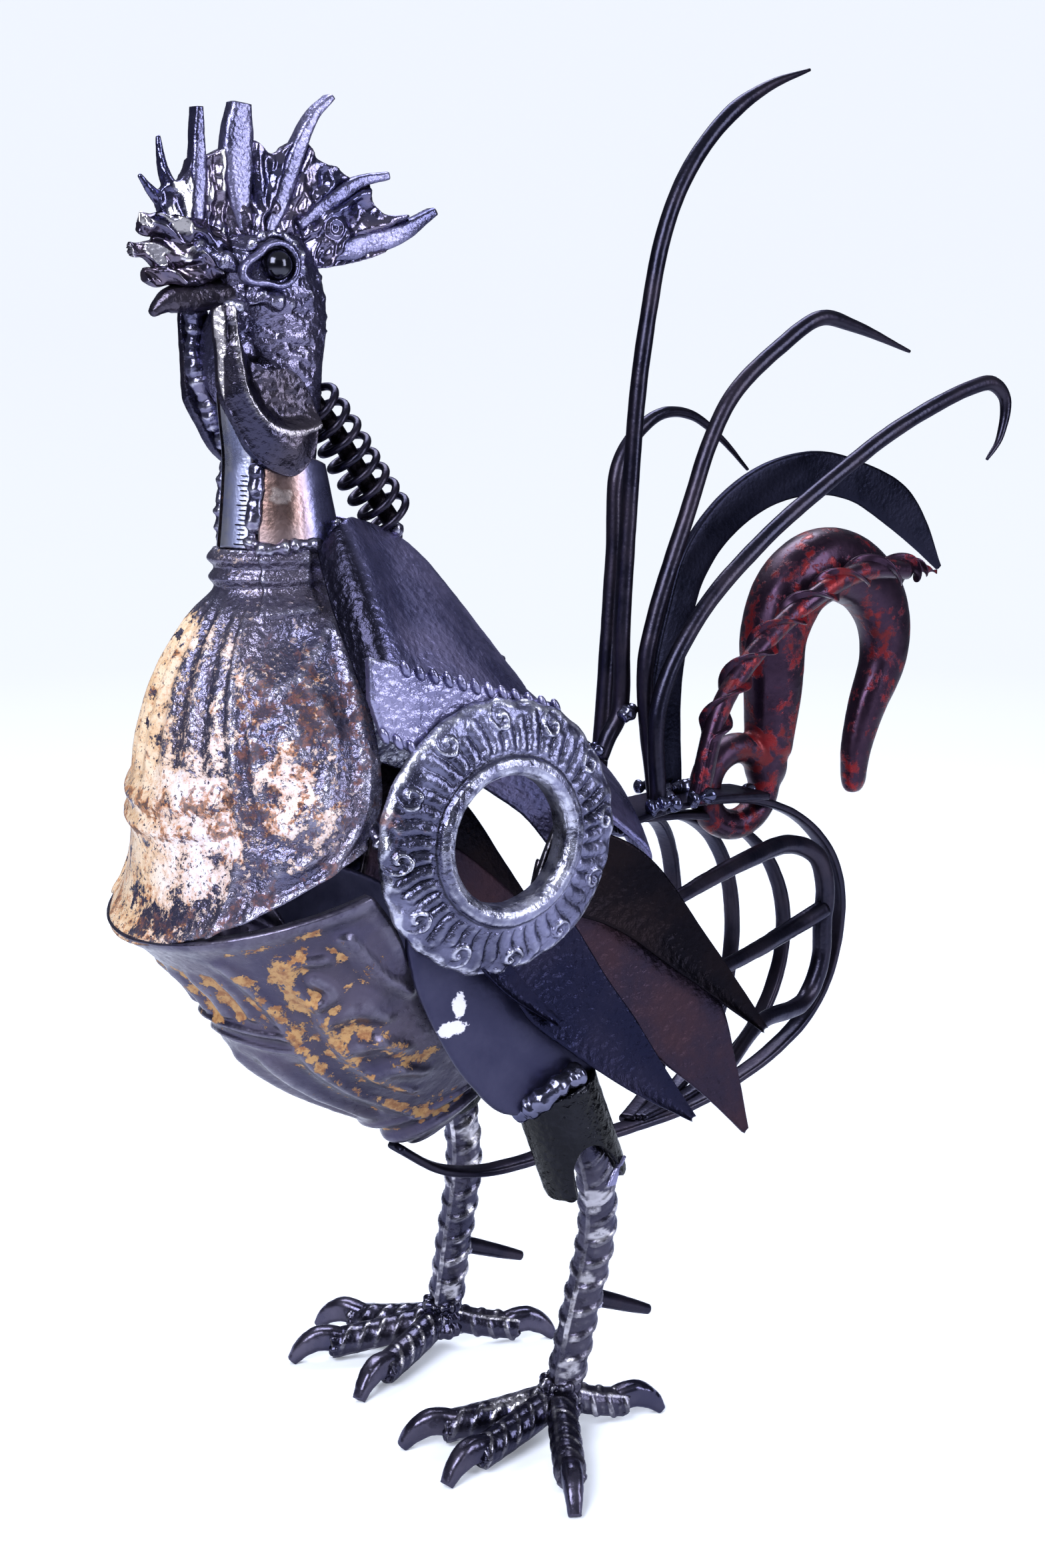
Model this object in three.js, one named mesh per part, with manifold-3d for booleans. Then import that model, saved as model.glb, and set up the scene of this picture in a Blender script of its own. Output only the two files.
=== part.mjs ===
// A rooster welded from scrap iron: bar legs, cast breast shells, rosette shoulders, cut feathers, tine tail.
// Millimetres, +Z up. The bird looks along -X and its left side is -Y.
import * as THREE from "three";
import { mergeVertices } from "three/addons/utils/BufferGeometryUtils.js";
import Module from "manifold-3d";

const kernel = await Module();
kernel.setup();

// Sizes that drive the whole bird
const LEFT = -1;
const RIGHT = 1;
const WELD_GAP = 0.45; // seam left between two neighbouring pieces
const FOOT_Y = 44; // half the distance between the legs
const LEG_CORE = 7.2; // reinforcing bar of the legs, about 16 over the ribs
const LEG_RIB = 8.1;
const LEG_PITCH = 10;
const TOE_CORE = 5.2; // thinner bar of the toes
const TOE_RIB = 6.1;
const TOE_PITCH = 13;
const CLAW_LENGTH = 22;
const SOCKET_RADIUS = 17; // pipe over each leg
const SOCKET_WALL = 3.5;
const SHELL_WALL = 5; // cast breast shells
const SHEET = 2.4; // cut sheet of feathers and plates
const RING_X = -45.5; // rosette shoulder
const RING_Z = 259;
const RING_BACK = 66;
const RING_RADIUS = 51;
const RING_HOLE = 24;
const RING_HUB = 12.5;
const RING_FLUTES = 24;
const TINE = 3.6; // radius of the tail tines
const HOOP_WIDTH = 9;
const HOOP_THICK = 3;
const CAGE_FRONT = 62; // hind body: where the hoops start
const CAGE_REACH = 121;
const CAGE_Z = 171;
const CAGE_HALF_HEIGHT = 67;
const CAGE_HALF_WIDTH = 50;
const SPRING_COIL = 6.8;
const SPRING_WIRE = 1.35;
const SPRING_TURNS = 9;
const NECK_X = -97;
const EYE_X = -102.5;
const EYE_Z = 460.5;
const EYE_Y = 15.5;
const EYE_BALL = 5.2;

// Metals
const metal = (color, roughness, metalness) =>
  new THREE.MeshStandardMaterial({ color, roughness, metalness });
const IRON = metal(0x2b2d36, 0.45, 0.9);
const GROUND_STEEL = metal(0x6c6f7a, 0.35, 1);
const REBAR = metal(0x3a3836, 0.5, 0.85);
const ENAMEL = metal(0xcfc4ae, 0.45, 0.1);
const OCHRE = metal(0x6f5a3c, 0.6, 0.4);
const CAST = metal(0x8d8f96, 0.4, 0.9);
const BRONZE_BROWN = metal(0x5a4636, 0.35, 0.8);
const RUST_SHEET = metal(0x4a2f27, 0.55, 0.7);
const RED_PAINT = metal(0x7c2a22, 0.5, 0.4);
const PALE_GREY = metal(0x7f858c, 0.5, 0.6);

// Small helpers
const v3 = (x, y, z) => new THREE.Vector3(x, y, z);
const ACROSS = v3(0, 1, 0);
const range = (count) => Array.from({ length: count }, (_, i) => i);
const radians = (degrees) => (degrees * Math.PI) / 180;
const bump = (x, middle, width) => Math.exp(-(((x - middle) / width) ** 2));
const onSide = (side, list) => list.map(([x, y, z]) => v3(x, side * y, z));
const upright = (y, list) => list.map(([x, z]) => v3(x, y, z));

function toSolid(points, faces) {
  const wanted = new kernel.Mesh({
    numProp: 3,
    vertProperties: new Float32Array(points.flatMap((p) => [p.x, p.y, p.z])),
    triVerts: new Uint32Array(faces),
  });
  const solid = new kernel.Manifold(wanted);
  if (solid.volume() > 0) return solid;
  const turned = [];
  for (let i = 0; i < faces.length; i += 3) {
    turned.push(faces[i], faces[i + 2], faces[i + 1]);
  }
  return toSolid(points, turned);
}

function fromGeometry(geometry) {
  const bare = new THREE.BufferGeometry();
  bare.setAttribute("position", geometry.getAttribute("position"));
  if (geometry.index) bare.setIndex(geometry.index);
  const welded = mergeVertices(bare, 1e-4);
  const place = welded.getAttribute("position");
  const points = range(place.count).map((i) => v3(place.getX(i), place.getY(i), place.getZ(i)));
  const faces = [];
  for (let i = 0; i < welded.index.count; i += 3) {
    const [a, b, c] = [0, 1, 2].map((k) => welded.index.getX(i + k));
    if (a !== b && b !== c && a !== c) faces.push(a, b, c);
  }
  return toSolid(points, faces);
}

// Skin between successive rings of equal, even length. A closed loop joins the last ring to the first.
function loft(rings, closed = false) {
  const count = rings[0].length;
  const total = rings.length;
  const faces = [];
  const index = (ring, place) => (ring % total) * count + ((place + count) % count);
  const quad = (a, b, c, d) => faces.push(a, b, c, a, c, d);
  for (const ring of range(closed ? total : total - 1)) {
    for (const j of range(count)) {
      quad(index(ring, j), index(ring, j + 1), index(ring + 1, j + 1), index(ring + 1, j));
    }
  }
  if (!closed) {
    const end = total - 1;
    for (const j of range(count / 2 - 1)) {
      const far = count - 1 - j;
      quad(index(0, j), index(0, far), index(0, far - 1), index(0, j + 1));
      quad(index(end, j), index(end, j + 1), index(end, far - 1), index(end, far));
    }
  }
  return toSolid(rings.flat(), faces);
}

// Stations along a smooth path. With a reference direction the section keeps facing it.
function stations(points, steps, reference) {
  const curve = new THREE.CatmullRomCurve3(points, false, "centripetal");
  const frames = curve.computeFrenetFrames(steps, false);
  const facing = (along) => reference.clone().addScaledVector(along, -reference.dot(along)).normalize();
  return range(steps + 1).map((i) => {
    const along = frames.tangents[i];
    const side = reference ? facing(along) : frames.normals[i];
    const up = along.clone().cross(side);
    return { at: curve.getPointAt(i / steps), along, side, up, share: i / steps };
  });
}

const offset = (station, a, b) =>
  station.at.clone().addScaledVector(station.side, a).addScaledVector(station.up, b);

function ellipse(station, a, b, sides, turn = 0) {
  return range(sides).map((i) => {
    const angle = ((i + 0.5) / sides) * 2 * Math.PI + turn;
    return offset(station, a * Math.cos(angle), b * Math.sin(angle));
  });
}

// Round or oval bar: the radius follows the share of the length, flat is the ratio of height to width.
function rod(points, radius, { sides = 8, steps = 10, flat = 1, reference } = {}) {
  const size = typeof radius === "function" ? radius : () => radius;
  const ring = (s) => ellipse(s, size(s.share), size(s.share) * flat, sides);
  return loft(stations(points, steps, reference).map(ring));
}

// Flat bar of constant section whose width lies along the reference direction.
function flatBar(points, width, thick, reference, steps) {
  const corners = [[-1, -1], [1, -1], [1, 1], [-1, 1]];
  const ring = (s) => corners.map(([a, b]) => offset(s, (a * width) / 2, (b * thick) / 2));
  return loft(stations(points, steps, reference).map(ring));
}

// Ribbed reinforcing bar: the rings step between core and rib.
function ribbedBar(points, core, rib, pitch, sides) {
  const curve = new THREE.CatmullRomCurve3(points, false, "centripetal");
  const ribs = Math.round(curve.getLength() / pitch);
  const ring = (s, i) => ellipse(s, i % 2 ? rib : core, i % 2 ? rib : core, sides);
  return loft(stations(points, ribs * 2, undefined).map(ring));
}

// Bent sheet between two edges; the crown lifts its middle along the sheet's normal.
function panel(leftEdge, rightEdge, { thick = SHEET, crown = 0, across = 3, steps = 6 } = {}) {
  const left = new THREE.CatmullRomCurve3(leftEdge, false, "centripetal");
  const right = new THREE.CatmullRomCurve3(rightEdge, false, "centripetal");
  const middle = (t) => left.getPoint(t).add(right.getPoint(t)).multiplyScalar(0.5);
  const ring = (i) => {
    const t = i / steps;
    const from = left.getPoint(t);
    const to = right.getPoint(t);
    const along = middle(Math.min(1, t + 0.02)).sub(middle(Math.max(0, t - 0.02)));
    const normal = to.clone().sub(from).cross(along).normalize();
    const place = (j, lift) => {
      const share = j / across;
      const arch = 4 * share * (1 - share) * crown;
      return from.clone().lerp(to, share).addScaledVector(normal, arch + lift);
    };
    const outer = range(across + 1).map((j) => place(j, thick / 2));
    const inner = range(across + 1).map((j) => place(across - j, -thick / 2));
    return [...outer, ...inner];
  };
  return loft(range(steps + 1).map(ring));
}

// Plate cut to an outline given in x and z, standing in the plane y.
function slab(outline, y, thick, bevel = 0) {
  const shape = new THREE.Shape(outline.map(([x, z]) => new THREE.Vector2(x, z)));
  const geometry = new THREE.ExtrudeGeometry(shape, {
    depth: thick - 2 * bevel,
    bevelEnabled: bevel > 0,
    bevelThickness: bevel,
    bevelSize: bevel,
    bevelOffset: -bevel,
    bevelSegments: 1,
    steps: 1,
  });
  geometry.translate(0, 0, -thick / 2 + bevel);
  geometry.rotateX(Math.PI / 2);
  geometry.translate(0, y, 0);
  return fromGeometry(geometry);
}

const ball = (center, radius) =>
  fromGeometry(new THREE.SphereGeometry(radius, 8, 5).translate(center.x, center.y, center.z));

const join = (...solids) => kernel.Manifold.union(solids);

// The largest body is kept where a cut leaves crumbs.
function largest(solid) {
  const bodies = solid.decompose().sort((a, b) => b.volume() - a.volume());
  return bodies[0];
}

function vertexNormals(mesh) {
  const point = (i) => v3(...mesh.vertProperties.slice(i * mesh.numProp, i * mesh.numProp + 3));
  const normals = range(mesh.numVert).map(() => v3(0, 0, 0));
  for (let i = 0; i < mesh.triVerts.length; i += 3) {
    const [a, b, c] = mesh.triVerts.slice(i, i + 3);
    const face = point(b).sub(point(a)).cross(point(c).sub(point(a)));
    [a, b, c].forEach((k) => normals[k].add(face));
  }
  return { point, normals: normals.map((n) => n.normalize()) };
}

// The same solid with its skin moved out by the weld gap.
function swollen(solid) {
  const mesh = solid.getMesh();
  const { point, normals } = vertexNormals(mesh);
  const points = range(mesh.numVert).map((i) => point(i).addScaledVector(normals[i], WELD_GAP));
  return toSolid(points, Array.from(mesh.triVerts));
}

const sculpture = new THREE.Group();
const placed = [];

function touches(a, b) {
  return range(3).every((k) => a.min[k] < b.max[k] + 1 && b.min[k] < a.max[k] + 1);
}

function show(name, solid, material) {
  const mesh = solid.getMesh();
  const geometry = new THREE.BufferGeometry();
  geometry.setAttribute("position", new THREE.BufferAttribute(new Float32Array(mesh.vertProperties), 3));
  geometry.setIndex(new THREE.BufferAttribute(new Uint32Array(mesh.triVerts), 1));
  const shown = new THREE.Mesh(geometry.toNonIndexed(), material);
  shown.geometry.computeVertexNormals();
  shown.name = name;
  sculpture.add(shown);
}

// Sets a piece into the bird, notched where it meets the pieces that are already there.
// A plain envelope may stand in for a ribbed piece when its neighbours are notched.
function piece(name, solid, material, envelope = solid) {
  const box = solid.boundingBox();
  const near = placed.filter((other) => touches(box, other.box)).map((other) => other.cutter);
  show(name, near.length ? largest(solid.subtract(join(...near))) : solid, material);
  placed.push({ box: envelope.boundingBox(), cutter: swollen(envelope) });
}

// Legs and feet
const LEG_LEFT = [[0, 44, 11], [9, 44, 47], [18, 44, 83], [15, 47, 108], [8, 49, 128]];
const LEG_RIGHT = [[0, 44, 11], [6, 44, 47], [12, 44, 85], [12, 47, 108], [8, 49, 128]];
const SPUR_LEFT = [[13, 44, 56], [45, 44, 41]];
const SPUR_RIGHT = [[8, 44, 48], [42, 44, 33]];

function addLeg(name, side, path, spurPath) {
  const points = onSide(side, path);
  const bar = ribbedBar(points, LEG_CORE, LEG_RIB, LEG_PITCH, 8);
  const spur = rod(onSide(side, spurPath), (t) => 3.6 - 1.4 * t, { sides: 6, steps: 1 });
  const envelope = rod(points, LEG_RIB + 0.6, { sides: 8, steps: 4 });
  piece(name, join(bar, spur), REBAR, envelope);
}

// Each toe: its name, its heading in degrees from +X towards +Y, and the reach of its claw from the leg
const TOES_LEFT = [["outer", -121, 68], ["middle", -170, 64], ["inner", 158, 66], ["hind", -14, 46]];
const TOES_RIGHT = [["outer", 124, 61], ["middle", 157, 67], ["inner", -159, 60], ["hind", -23, 51]];

function addToe(name, side, degrees, reach) {
  const heading = v3(Math.cos(radians(degrees)), Math.sin(radians(degrees)), 0);
  const hub = v3(0, side * FOOT_Y, 0);
  const place = (distance, z) => hub.clone().addScaledVector(heading, distance).setZ(z);
  const length = reach - CLAW_LENGTH + 4;
  const barPath = [place(4, 15), place(length * 0.5, 11), place(length, 7.4)];
  const bar = ribbedBar(barPath, TOE_CORE, TOE_RIB, TOE_PITCH, 6);
  const knuckle = [place(length - 5, 9), place(length + 5, 10.5)];
  const clawPath = [...knuckle, place(reach - 6, 7), place(reach - 1, 0.8)];
  const sideways = heading.clone().cross(v3(0, 0, 1));
  const shape = { sides: 6, steps: 3, flat: 1.45, reference: sideways };
  const claw = rod(clawPath, (t) => 3.5 - 1.9 * t ** 2, shape);
  const envelope = rod(barPath, TOE_RIB + 0.5, { sides: 6, steps: 2 });
  piece(name, join(bar, claw).trimByPlane([0, 0, 1], 0), REBAR, envelope);
}

function addLegs() {
  addLeg("leg_left", LEFT, LEG_LEFT, SPUR_LEFT);
  addLeg("leg_right", RIGHT, LEG_RIGHT, SPUR_RIGHT);
  for (const [name, degrees, reach] of TOES_LEFT) addToe("toe_left_" + name, LEFT, degrees, reach);
  for (const [name, degrees, reach] of TOES_RIGHT) addToe("toe_right_" + name, RIGHT, degrees, reach);
}

function socket(side) {
  const outer = rod(onSide(side, [[-7, 50, 150], [6.5, 51, 112]]), SOCKET_RADIUS, { sides: 12, steps: 1 });
  const bore = onSide(side, [[-17.7, 49.2, 180], [13.6, 51.5, 92]]);
  return outer.subtract(rod(bore, SOCKET_RADIUS - SOCKET_WALL, { sides: 12, steps: 1 }));
}

// Wings
function rosette(side, flutes) {
  const turns = flutes * 2;
  const ring = (i) => {
    const angle = (i / turns) * 2 * Math.PI;
    const ridge = i % 2 ? 1 : -1;
    const scallop = Math.cos(12 * angle);
    const place = (radius, height) => {
      const x = RING_X + radius * Math.cos(angle);
      return v3(x, side * (RING_BACK + height), RING_Z + radius * Math.sin(angle));
    };
    return [
      place(RING_RADIUS + scallop, 0),
      place(RING_RADIUS + scallop, 3.5),
      place(RING_RADIUS - 8, 6.5 + 0.7 * scallop),
      place(RING_HOLE + 6, RING_HUB + 0.7 * ridge),
      place(RING_HOLE, RING_HUB),
      place(RING_HOLE, 2),
    ];
  };
  return loft(range(turns).map(ring), true);
}

// Feather rows: upper edge x, distance from the middle plane, upper edge z, lower edge x, lower edge z
const FEATHER_UPPER = [
  [-16, 64, 262, -30, 230], [22, 66, 244, 6, 217], [53, 69, 205, 38, 194], [82, 72, 164, 80, 162],
];
const FEATHER_MIDDLE = [
  [-26, 59, 232, -30, 212], [20, 60.5, 208, 6, 190], [60, 63, 178, 29, 162], [72, 65, 148, 56, 138],
  [77, 67, 121, 75, 119],
];
const FEATHER_LOWER = [
  [-10, 64, 222, -44, 212], [6, 66, 196, -32, 188], [18, 67, 179, -14, 172], [32, 69, 156, 15, 150],
  [46, 71, 134, 44, 132],
];
const FEATHER_TONGUE = [[-44, 69, 214, -57, 214], [-33, 70, 200, -44, 200], [-19, 71, 186, -22, 184]];

function feather(side, rows, options) {
  const upper = rows.map(([x, y, z]) => v3(x, side * y, z));
  const lower = rows.map(([, y, , x, z]) => v3(x, side * y, z));
  return panel(upper, lower, { across: 2, steps: 6, crown: side * 1.5, ...options });
}

// The lower feather of the left wing carries a small tongue welded on its front edge.
function lowerFeather(side) {
  const blade = feather(side, FEATHER_LOWER, {});
  if (side === RIGHT) return blade;
  return join(blade, feather(side, FEATHER_TONGUE, { steps: 3, thick: 4 }));
}

// Plate over the shoulder with a row of rope-like notches cut in its upper edge
function shoulderPlate(side) {
  const notches = 11;
  const top = (share, depth) => [-97 + 79 * share, 329 - 24 * share - depth];
  const teeth = range(notches).flatMap((i) => {
    const from = 0.18 + (i / notches) * 0.8;
    return [top(from, 0), top(from + 0.45 / notches, 2.6)];
  });
  const rest = [[-17, 304], [-8, 292], [-30, 280], [-70, 288], [-92, 300], [-97, 314]];
  return slab([[-97, 329], ...teeth, ...rest], side * 63.5, 4);
}

const THIGH = [
  [-77, 227], [-76, 209], [-62, 178], [-50, 161], [-36, 148], [-12, 146], [8, 160], [2, 190], [-20, 212],
  [-50, 225],
];

function addWings() {
  piece("wing_ring_left", rosette(LEFT, RING_FLUTES), CAST);
  piece("wing_ring_right", rosette(RIGHT, RING_FLUTES / 2), CAST);
  for (const [name, side] of [["left", LEFT], ["right", RIGHT]]) {
    piece("feather_" + name + "_upper", feather(side, FEATHER_UPPER, {}), IRON);
    piece("feather_" + name + "_lower", lowerFeather(side), IRON);
    piece("feather_" + name + "_middle", feather(side, FEATHER_MIDDLE, { crown: 0 }), RUST_SHEET);
    piece("shoulder_plate_" + name, shoulderPlate(side), IRON);
    piece("leg_socket_" + name, socket(side), IRON);
  }
}

// Breast shells. Each row: front x and z, rear edge x and z, half width.
const UPPER_ROWS = [
  [-121, 362, -88, 362, 19.5], [-123.5, 358.5, -88, 358.5, 21], [-121, 355, -88, 355, 19.5],
  [-123, 351.5, -88, 351.5, 21], [-121, 348, -87.5, 348.5, 20], [-127, 340, -87, 342, 26],
  [-135, 328, -87.5, 333, 34], [-141, 314, -89, 321, 42], [-146, 293, -89, 304, 52],
  [-148, 271, -89, 288, 57], [-147, 252, -90, 276, 59], [-149, 239, -93, 268, 59], [-154, 230, -97, 262, 58],
];
const LOWER_ROWS = [
  [-151, 226.5, -96, 244, 58], [-139, 213, -84, 230, 57], [-131, 198, -74, 210, 53],
  [-126, 185, -65, 193, 48], [-117, 170, -54, 178, 42], [-98, 154, -42, 165, 34], [-76, 141, -32, 155, 27],
  [-60, 130, -26, 146, 21], [-45, 119, -20, 137, 14],
];

function rowCurve(rows) {
  const front = new THREE.CatmullRomCurve3(rows.map(([x, z]) => v3(x, 0, z)));
  const rear = new THREE.CatmullRomCurve3(rows.map(([, , x, z, half]) => v3(x, half, z)));
  return (t) => ({ front: front.getPoint(t), rear: rear.getPoint(t) });
}

// Half-oval section from one rear edge round the front to the other, open space behind it if asked for
function shellRing({ front, rear }, inset, lift, arcs, behind) {
  const center = v3(rear.x, 0, rear.z);
  const depth = front.clone().sub(center);
  const reach = depth.length() - inset;
  const forward = depth.normalize();
  const half = rear.y - inset;
  const ring = range(arcs + 1).map((i) => {
    const angle = (i / arcs - 0.5) * Math.PI;
    const raise = lift(angle);
    const place = center.clone().addScaledVector(forward, Math.cos(angle) * (reach + raise));
    return place.setY(Math.sin(angle) * (half + raise * Math.abs(Math.sin(angle))));
  });
  if (!behind) return ring;
  const back = (y) => center.clone().addScaledVector(forward, -behind).setY(y);
  return [back(-half), ...ring, back(half)];
}

const continued = (ring, inward, share) =>
  ring.map((p, i) => p.clone().addScaledVector(inward[i].clone().sub(p), -share));

// A cast shell, hollow from behind; its wide end, the last row or the first, is open.
function breastShell(rows, relief, steps, openEnd) {
  const at = rowCurve(rows);
  const skin = (i) => shellRing(at(i / steps), 0, (angle) => relief(angle, i / steps), 17, 0);
  const outer = loft(range(steps + 1).map(skin));
  const few = 6;
  const inner = range(few + 1).map((i) => shellRing(at(i / few), SHELL_WALL, () => 0, 7, 30));
  if (openEnd === "last") inner.push(continued(inner[few], inner[few - 1], 0.6));
  if (openEnd === "last") inner.shift();
  if (openEnd === "first") inner.unshift(continued(inner[0], inner[1], 0.6));
  if (openEnd === "first") inner.pop();
  return largest(outer.subtract(loft(inner)));
}

// Fluted front column between two raised cords, a cross moulding, and scroll bosses on each flank
function upperRelief(angle, t) {
  const flank = Math.abs(angle);
  const body = Math.min(1, Math.max(0, (t - 0.3) * 10));
  const cords = 1.8 * bump(flank, 0.72, 0.12);
  const flutes = flank < 0.6 ? 0.9 * Math.cos(angle * 18) : 0;
  const moulding = flank < 0.7 ? 1.6 * bump(t, 0.8, 0.03) : 0;
  const high = 4 * bump(flank, 1.12, 0.2) * bump(t, 0.66, 0.08);
  const low = 3 * bump(flank, 1.2, 0.2) * bump(t, 0.88, 0.07);
  return body * (cords + flutes + moulding + high + low);
}

// Keel ridge, acanthus lobes in front, a valley and a scroll on each flank, rolls at the toe
function lowerRelief(angle, t) {
  const flank = Math.abs(angle);
  const keel = 2 * bump(angle, 0, 0.12) * (1 - t);
  const lobes = 1.4 * Math.cos(angle * 9) * bump(t, 0.2, 0.16);
  const valley = -2 * bump(flank, 0.75 - 0.3 * t, 0.1);
  const scroll = 3 * bump(flank, 1.15, 0.2) * bump(t, 0.32, 0.1);
  const rolls = t > 0.82 ? 1.6 * Math.cos(t * 60) : 0;
  return keel + lobes + valley + scroll + rolls;
}

function addBreast() {
  piece("breast_upper", breastShell(UPPER_ROWS, upperRelief, 18, "last"), ENAMEL);
  piece("breast_lower", breastShell(LOWER_ROWS, lowerRelief, 13, "first"), OCHRE);
  piece("thigh_plate_left", slab(THIGH, LEFT * 57, 3.2), PALE_GREY);
  piece("thigh_plate_right", slab(THIGH, RIGHT * 57, 3.2), PALE_GREY);
}

// Back
const BACK_RIDGE = [[-84, 24, 371], [-64, 6, 369.5], [-43, 2.2, 360], [-21, 2.2, 337], [-2, 2.2, 312]];
const BACK_FLANK = [[-86, 58, 318], [-70, 59, 314], [-52, 59, 309], [-36, 59, 303], [-22, 58, 296]];
const SADDLE_RIDGE = [[-1, -1.2, 311], [31, -1.2, 284], [63, -1.2, 251], [64, -1.2, 234]];
const SADDLE_FLANK = [[-20, 57, 293], [16, 52, 258], [44, 44, 236], [50, 34, 224]];

const backPlate = (side) =>
  panel(onSide(side, BACK_RIDGE), onSide(side, BACK_FLANK), { crown: side * -3, across: 3, steps: 6 });

// One folded sheet over the loins
function saddle() {
  const half = (side) => {
    const options = { crown: side * -2.5, across: 2, steps: 4 };
    return panel(onSide(side, SADDLE_RIDGE), onSide(side, SADDLE_FLANK), options);
  };
  return join(half(LEFT), half(RIGHT));
}

function addBack() {
  piece("back_plate_left", backPlate(LEFT), IRON);
  piece("back_plate_right", backPlate(RIGHT), IRON);
  piece("saddle_plate", saddle(), IRON);
}

// Neck
function neckPlate(side) {
  const rows = 3;
  const arcs = 8;
  const ring = (i) => {
    const t = i / rows;
    const place = (j, radius) => {
      const angle = radians(12 + (124 * j) / arcs);
      return v3(NECK_X + radius * Math.cos(angle), side * radius * Math.sin(angle), 362.6 + 33.4 * t);
    };
    const outer = range(arcs + 1).map((j) => place(j, 21 - 3.5 * t));
    const inner = range(arcs + 1).map((j) => place(arcs - j, 18.4 - 3.5 * t));
    return [...outer, ...inner];
  };
  return loft(range(rows + 1).map(ring));
}

const THROAT = [[-118, 441], [-120.5, 425], [-119, 408], [-118, 394], [-119, 380], [-121, 362.6]];
const SPRING_AXIS = [[-81, 414], [-72, 403], [-62, 388], [-54, 377], [-47.5, 368]];
const SPRING_ROOM = [[-83.5, 417], ...SPRING_AXIS, [-45.5, 365]];

// A steel rule folded along its middle, the fold to the front
function throatRule() {
  const spine = stations(upright(0, THROAT), 9, ACROSS);
  const section = [[-11, 7], [0, 0], [11, 7], [11, 9], [0, 2.4], [-11, 9]];
  return loft(spine.map((s) => section.map(([y, back]) => s.at.clone().add(v3(back, y, 0)))));
}

function neckSpring() {
  const spine = stations(upright(0, SPRING_AXIS), SPRING_TURNS * 5, ACROSS);
  const wire = spine.map((s) => {
    const angle = s.share * SPRING_TURNS * 2 * Math.PI;
    const at = offset(s, SPRING_COIL * Math.cos(angle), SPRING_COIL * Math.sin(angle));
    const out = at.clone().sub(s.at).normalize();
    return ellipse({ at, side: out, up: s.along }, SPRING_WIRE, SPRING_WIRE, 4);
  });
  return loft(wire);
}

function addNeck() {
  piece("throat_rule", throatRule(), GROUND_STEEL);
  piece("neck_plate_left", neckPlate(LEFT), BRONZE_BROWN);
  piece("neck_plate_right", neckPlate(RIGHT), BRONZE_BROWN);
  const room = rod(upright(0, SPRING_ROOM), SPRING_COIL + 2.2, { sides: 8, steps: 3 });
  const core = rod(upright(0, [[-90, 425], ...SPRING_ROOM, [-42, 360]]), 5, { sides: 6, steps: 3 });
  piece("neck_spring", neckSpring(), REBAR, room.subtract(core));
}

// Head
const WATTLE = [
  [-128, 446], [-128, 430], [-127, 416], [-122, 406], [-116, 396], [-108, 390], [-100, 388], [-93, 393],
  [-90, 401], [-91, 411], [-95, 420], [-101, 425], [-109, 425], [-117, 429], [-122, 437], [-123, 446],
];
const BROW = [
  [-131, 456], [-138, 455], [-143, 456], [-145, 462], [-151, 467], [-149, 469.5], [-144, 468], [-146, 475],
  [-142, 477], [-136, 475], [-126, 474], [-118, 470], [-118, 459],
];
const COMB_WEB = [
  [-139, 478], [-138, 484], [-131, 487], [-127, 494], [-118, 497], [-113, 494], [-104, 500], [-95, 497],
  [-86, 500], [-76, 495], [-63, 489], [-56, 481], [-50, 472], [-66, 464], [-80, 462], [-95, 468], [-110, 469],
  [-124, 471],
];
// Each spike: its name, its path in x and z, half width at base and tip, thickness over width
const COMB_SPIKES = [
  ["third", [[-126, 478], [-124, 498], [-123.5, 513]], 3.6, 1.2, 1],
  ["fourth", [[-110, 472], [-109, 496], [-107, 515]], 6.2, 3.8, 0.6],
  ["fifth", [[-96, 471], [-85, 497], [-71, 519]], 5, 1.1, 0.9],
  ["sixth", [[-84, 472], [-66, 487], [-49, 493]], 4, 1.1, 0.9],
  ["seventh", [[-76, 464], [-52, 471], [-28, 481]], 5.4, 1.2, 0.7],
];
const SKULL_ROWS = [
  [-96, 388, 14, 13], [-94, 412, 15, 13], [-95, 426, 17, 14], [-96, 440, 20, 15], [-98, 452, 21, 16],
  [-100, 463, 20, 14], [-100, 471, 15, 8],
];

function teardropRing(side) {
  const turns = 14;
  const ring = range(turns).map((i) => {
    const angle = (i / turns) * 2 * Math.PI;
    const stretch = 1 + 0.75 * Math.max(0, Math.cos(angle - radians(195))) ** 6;
    const out = v3(Math.cos(angle), 0, Math.sin(angle));
    const at = v3(EYE_X, side * EYE_Y, EYE_Z).addScaledVector(out, 7.4 * stretch);
    return ellipse({ at, side: out, up: ACROSS }, 1.5, 2.2, 4);
  });
  return loft(ring, true);
}

// Rough cheek block; the rod that carries the neck spring is welded to its back.
function skull() {
  const level = ([x, z, a, b]) => ellipse({ at: v3(x, 0, z), side: v3(1, 0, 0), up: ACROSS }, a, b, 8);
  const neckRod = rod(upright(0, SPRING_AXIS), 4.2, { sides: 6, steps: 3 });
  return join(loft(SKULL_ROWS.map(level)), neckRod);
}

function beak() {
  const path = upright(0, [[-110, 450], [-124, 451.5], [-135, 449.5], [-142.5, 443.5]]);
  const shape = { sides: 8, steps: 5, flat: 0.72, reference: ACROSS };
  return rod(path, (t) => 7.5 * (1 - t) ** 0.7 + 1.2, shape);
}

function combSpike(path, base, tip, flat) {
  const shape = { sides: 4, steps: 2, flat: 1 / flat, reference: ACROSS };
  return rod(upright(0, path), (t) => (base + (tip - base) * t) * flat * 1.25, shape);
}

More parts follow.
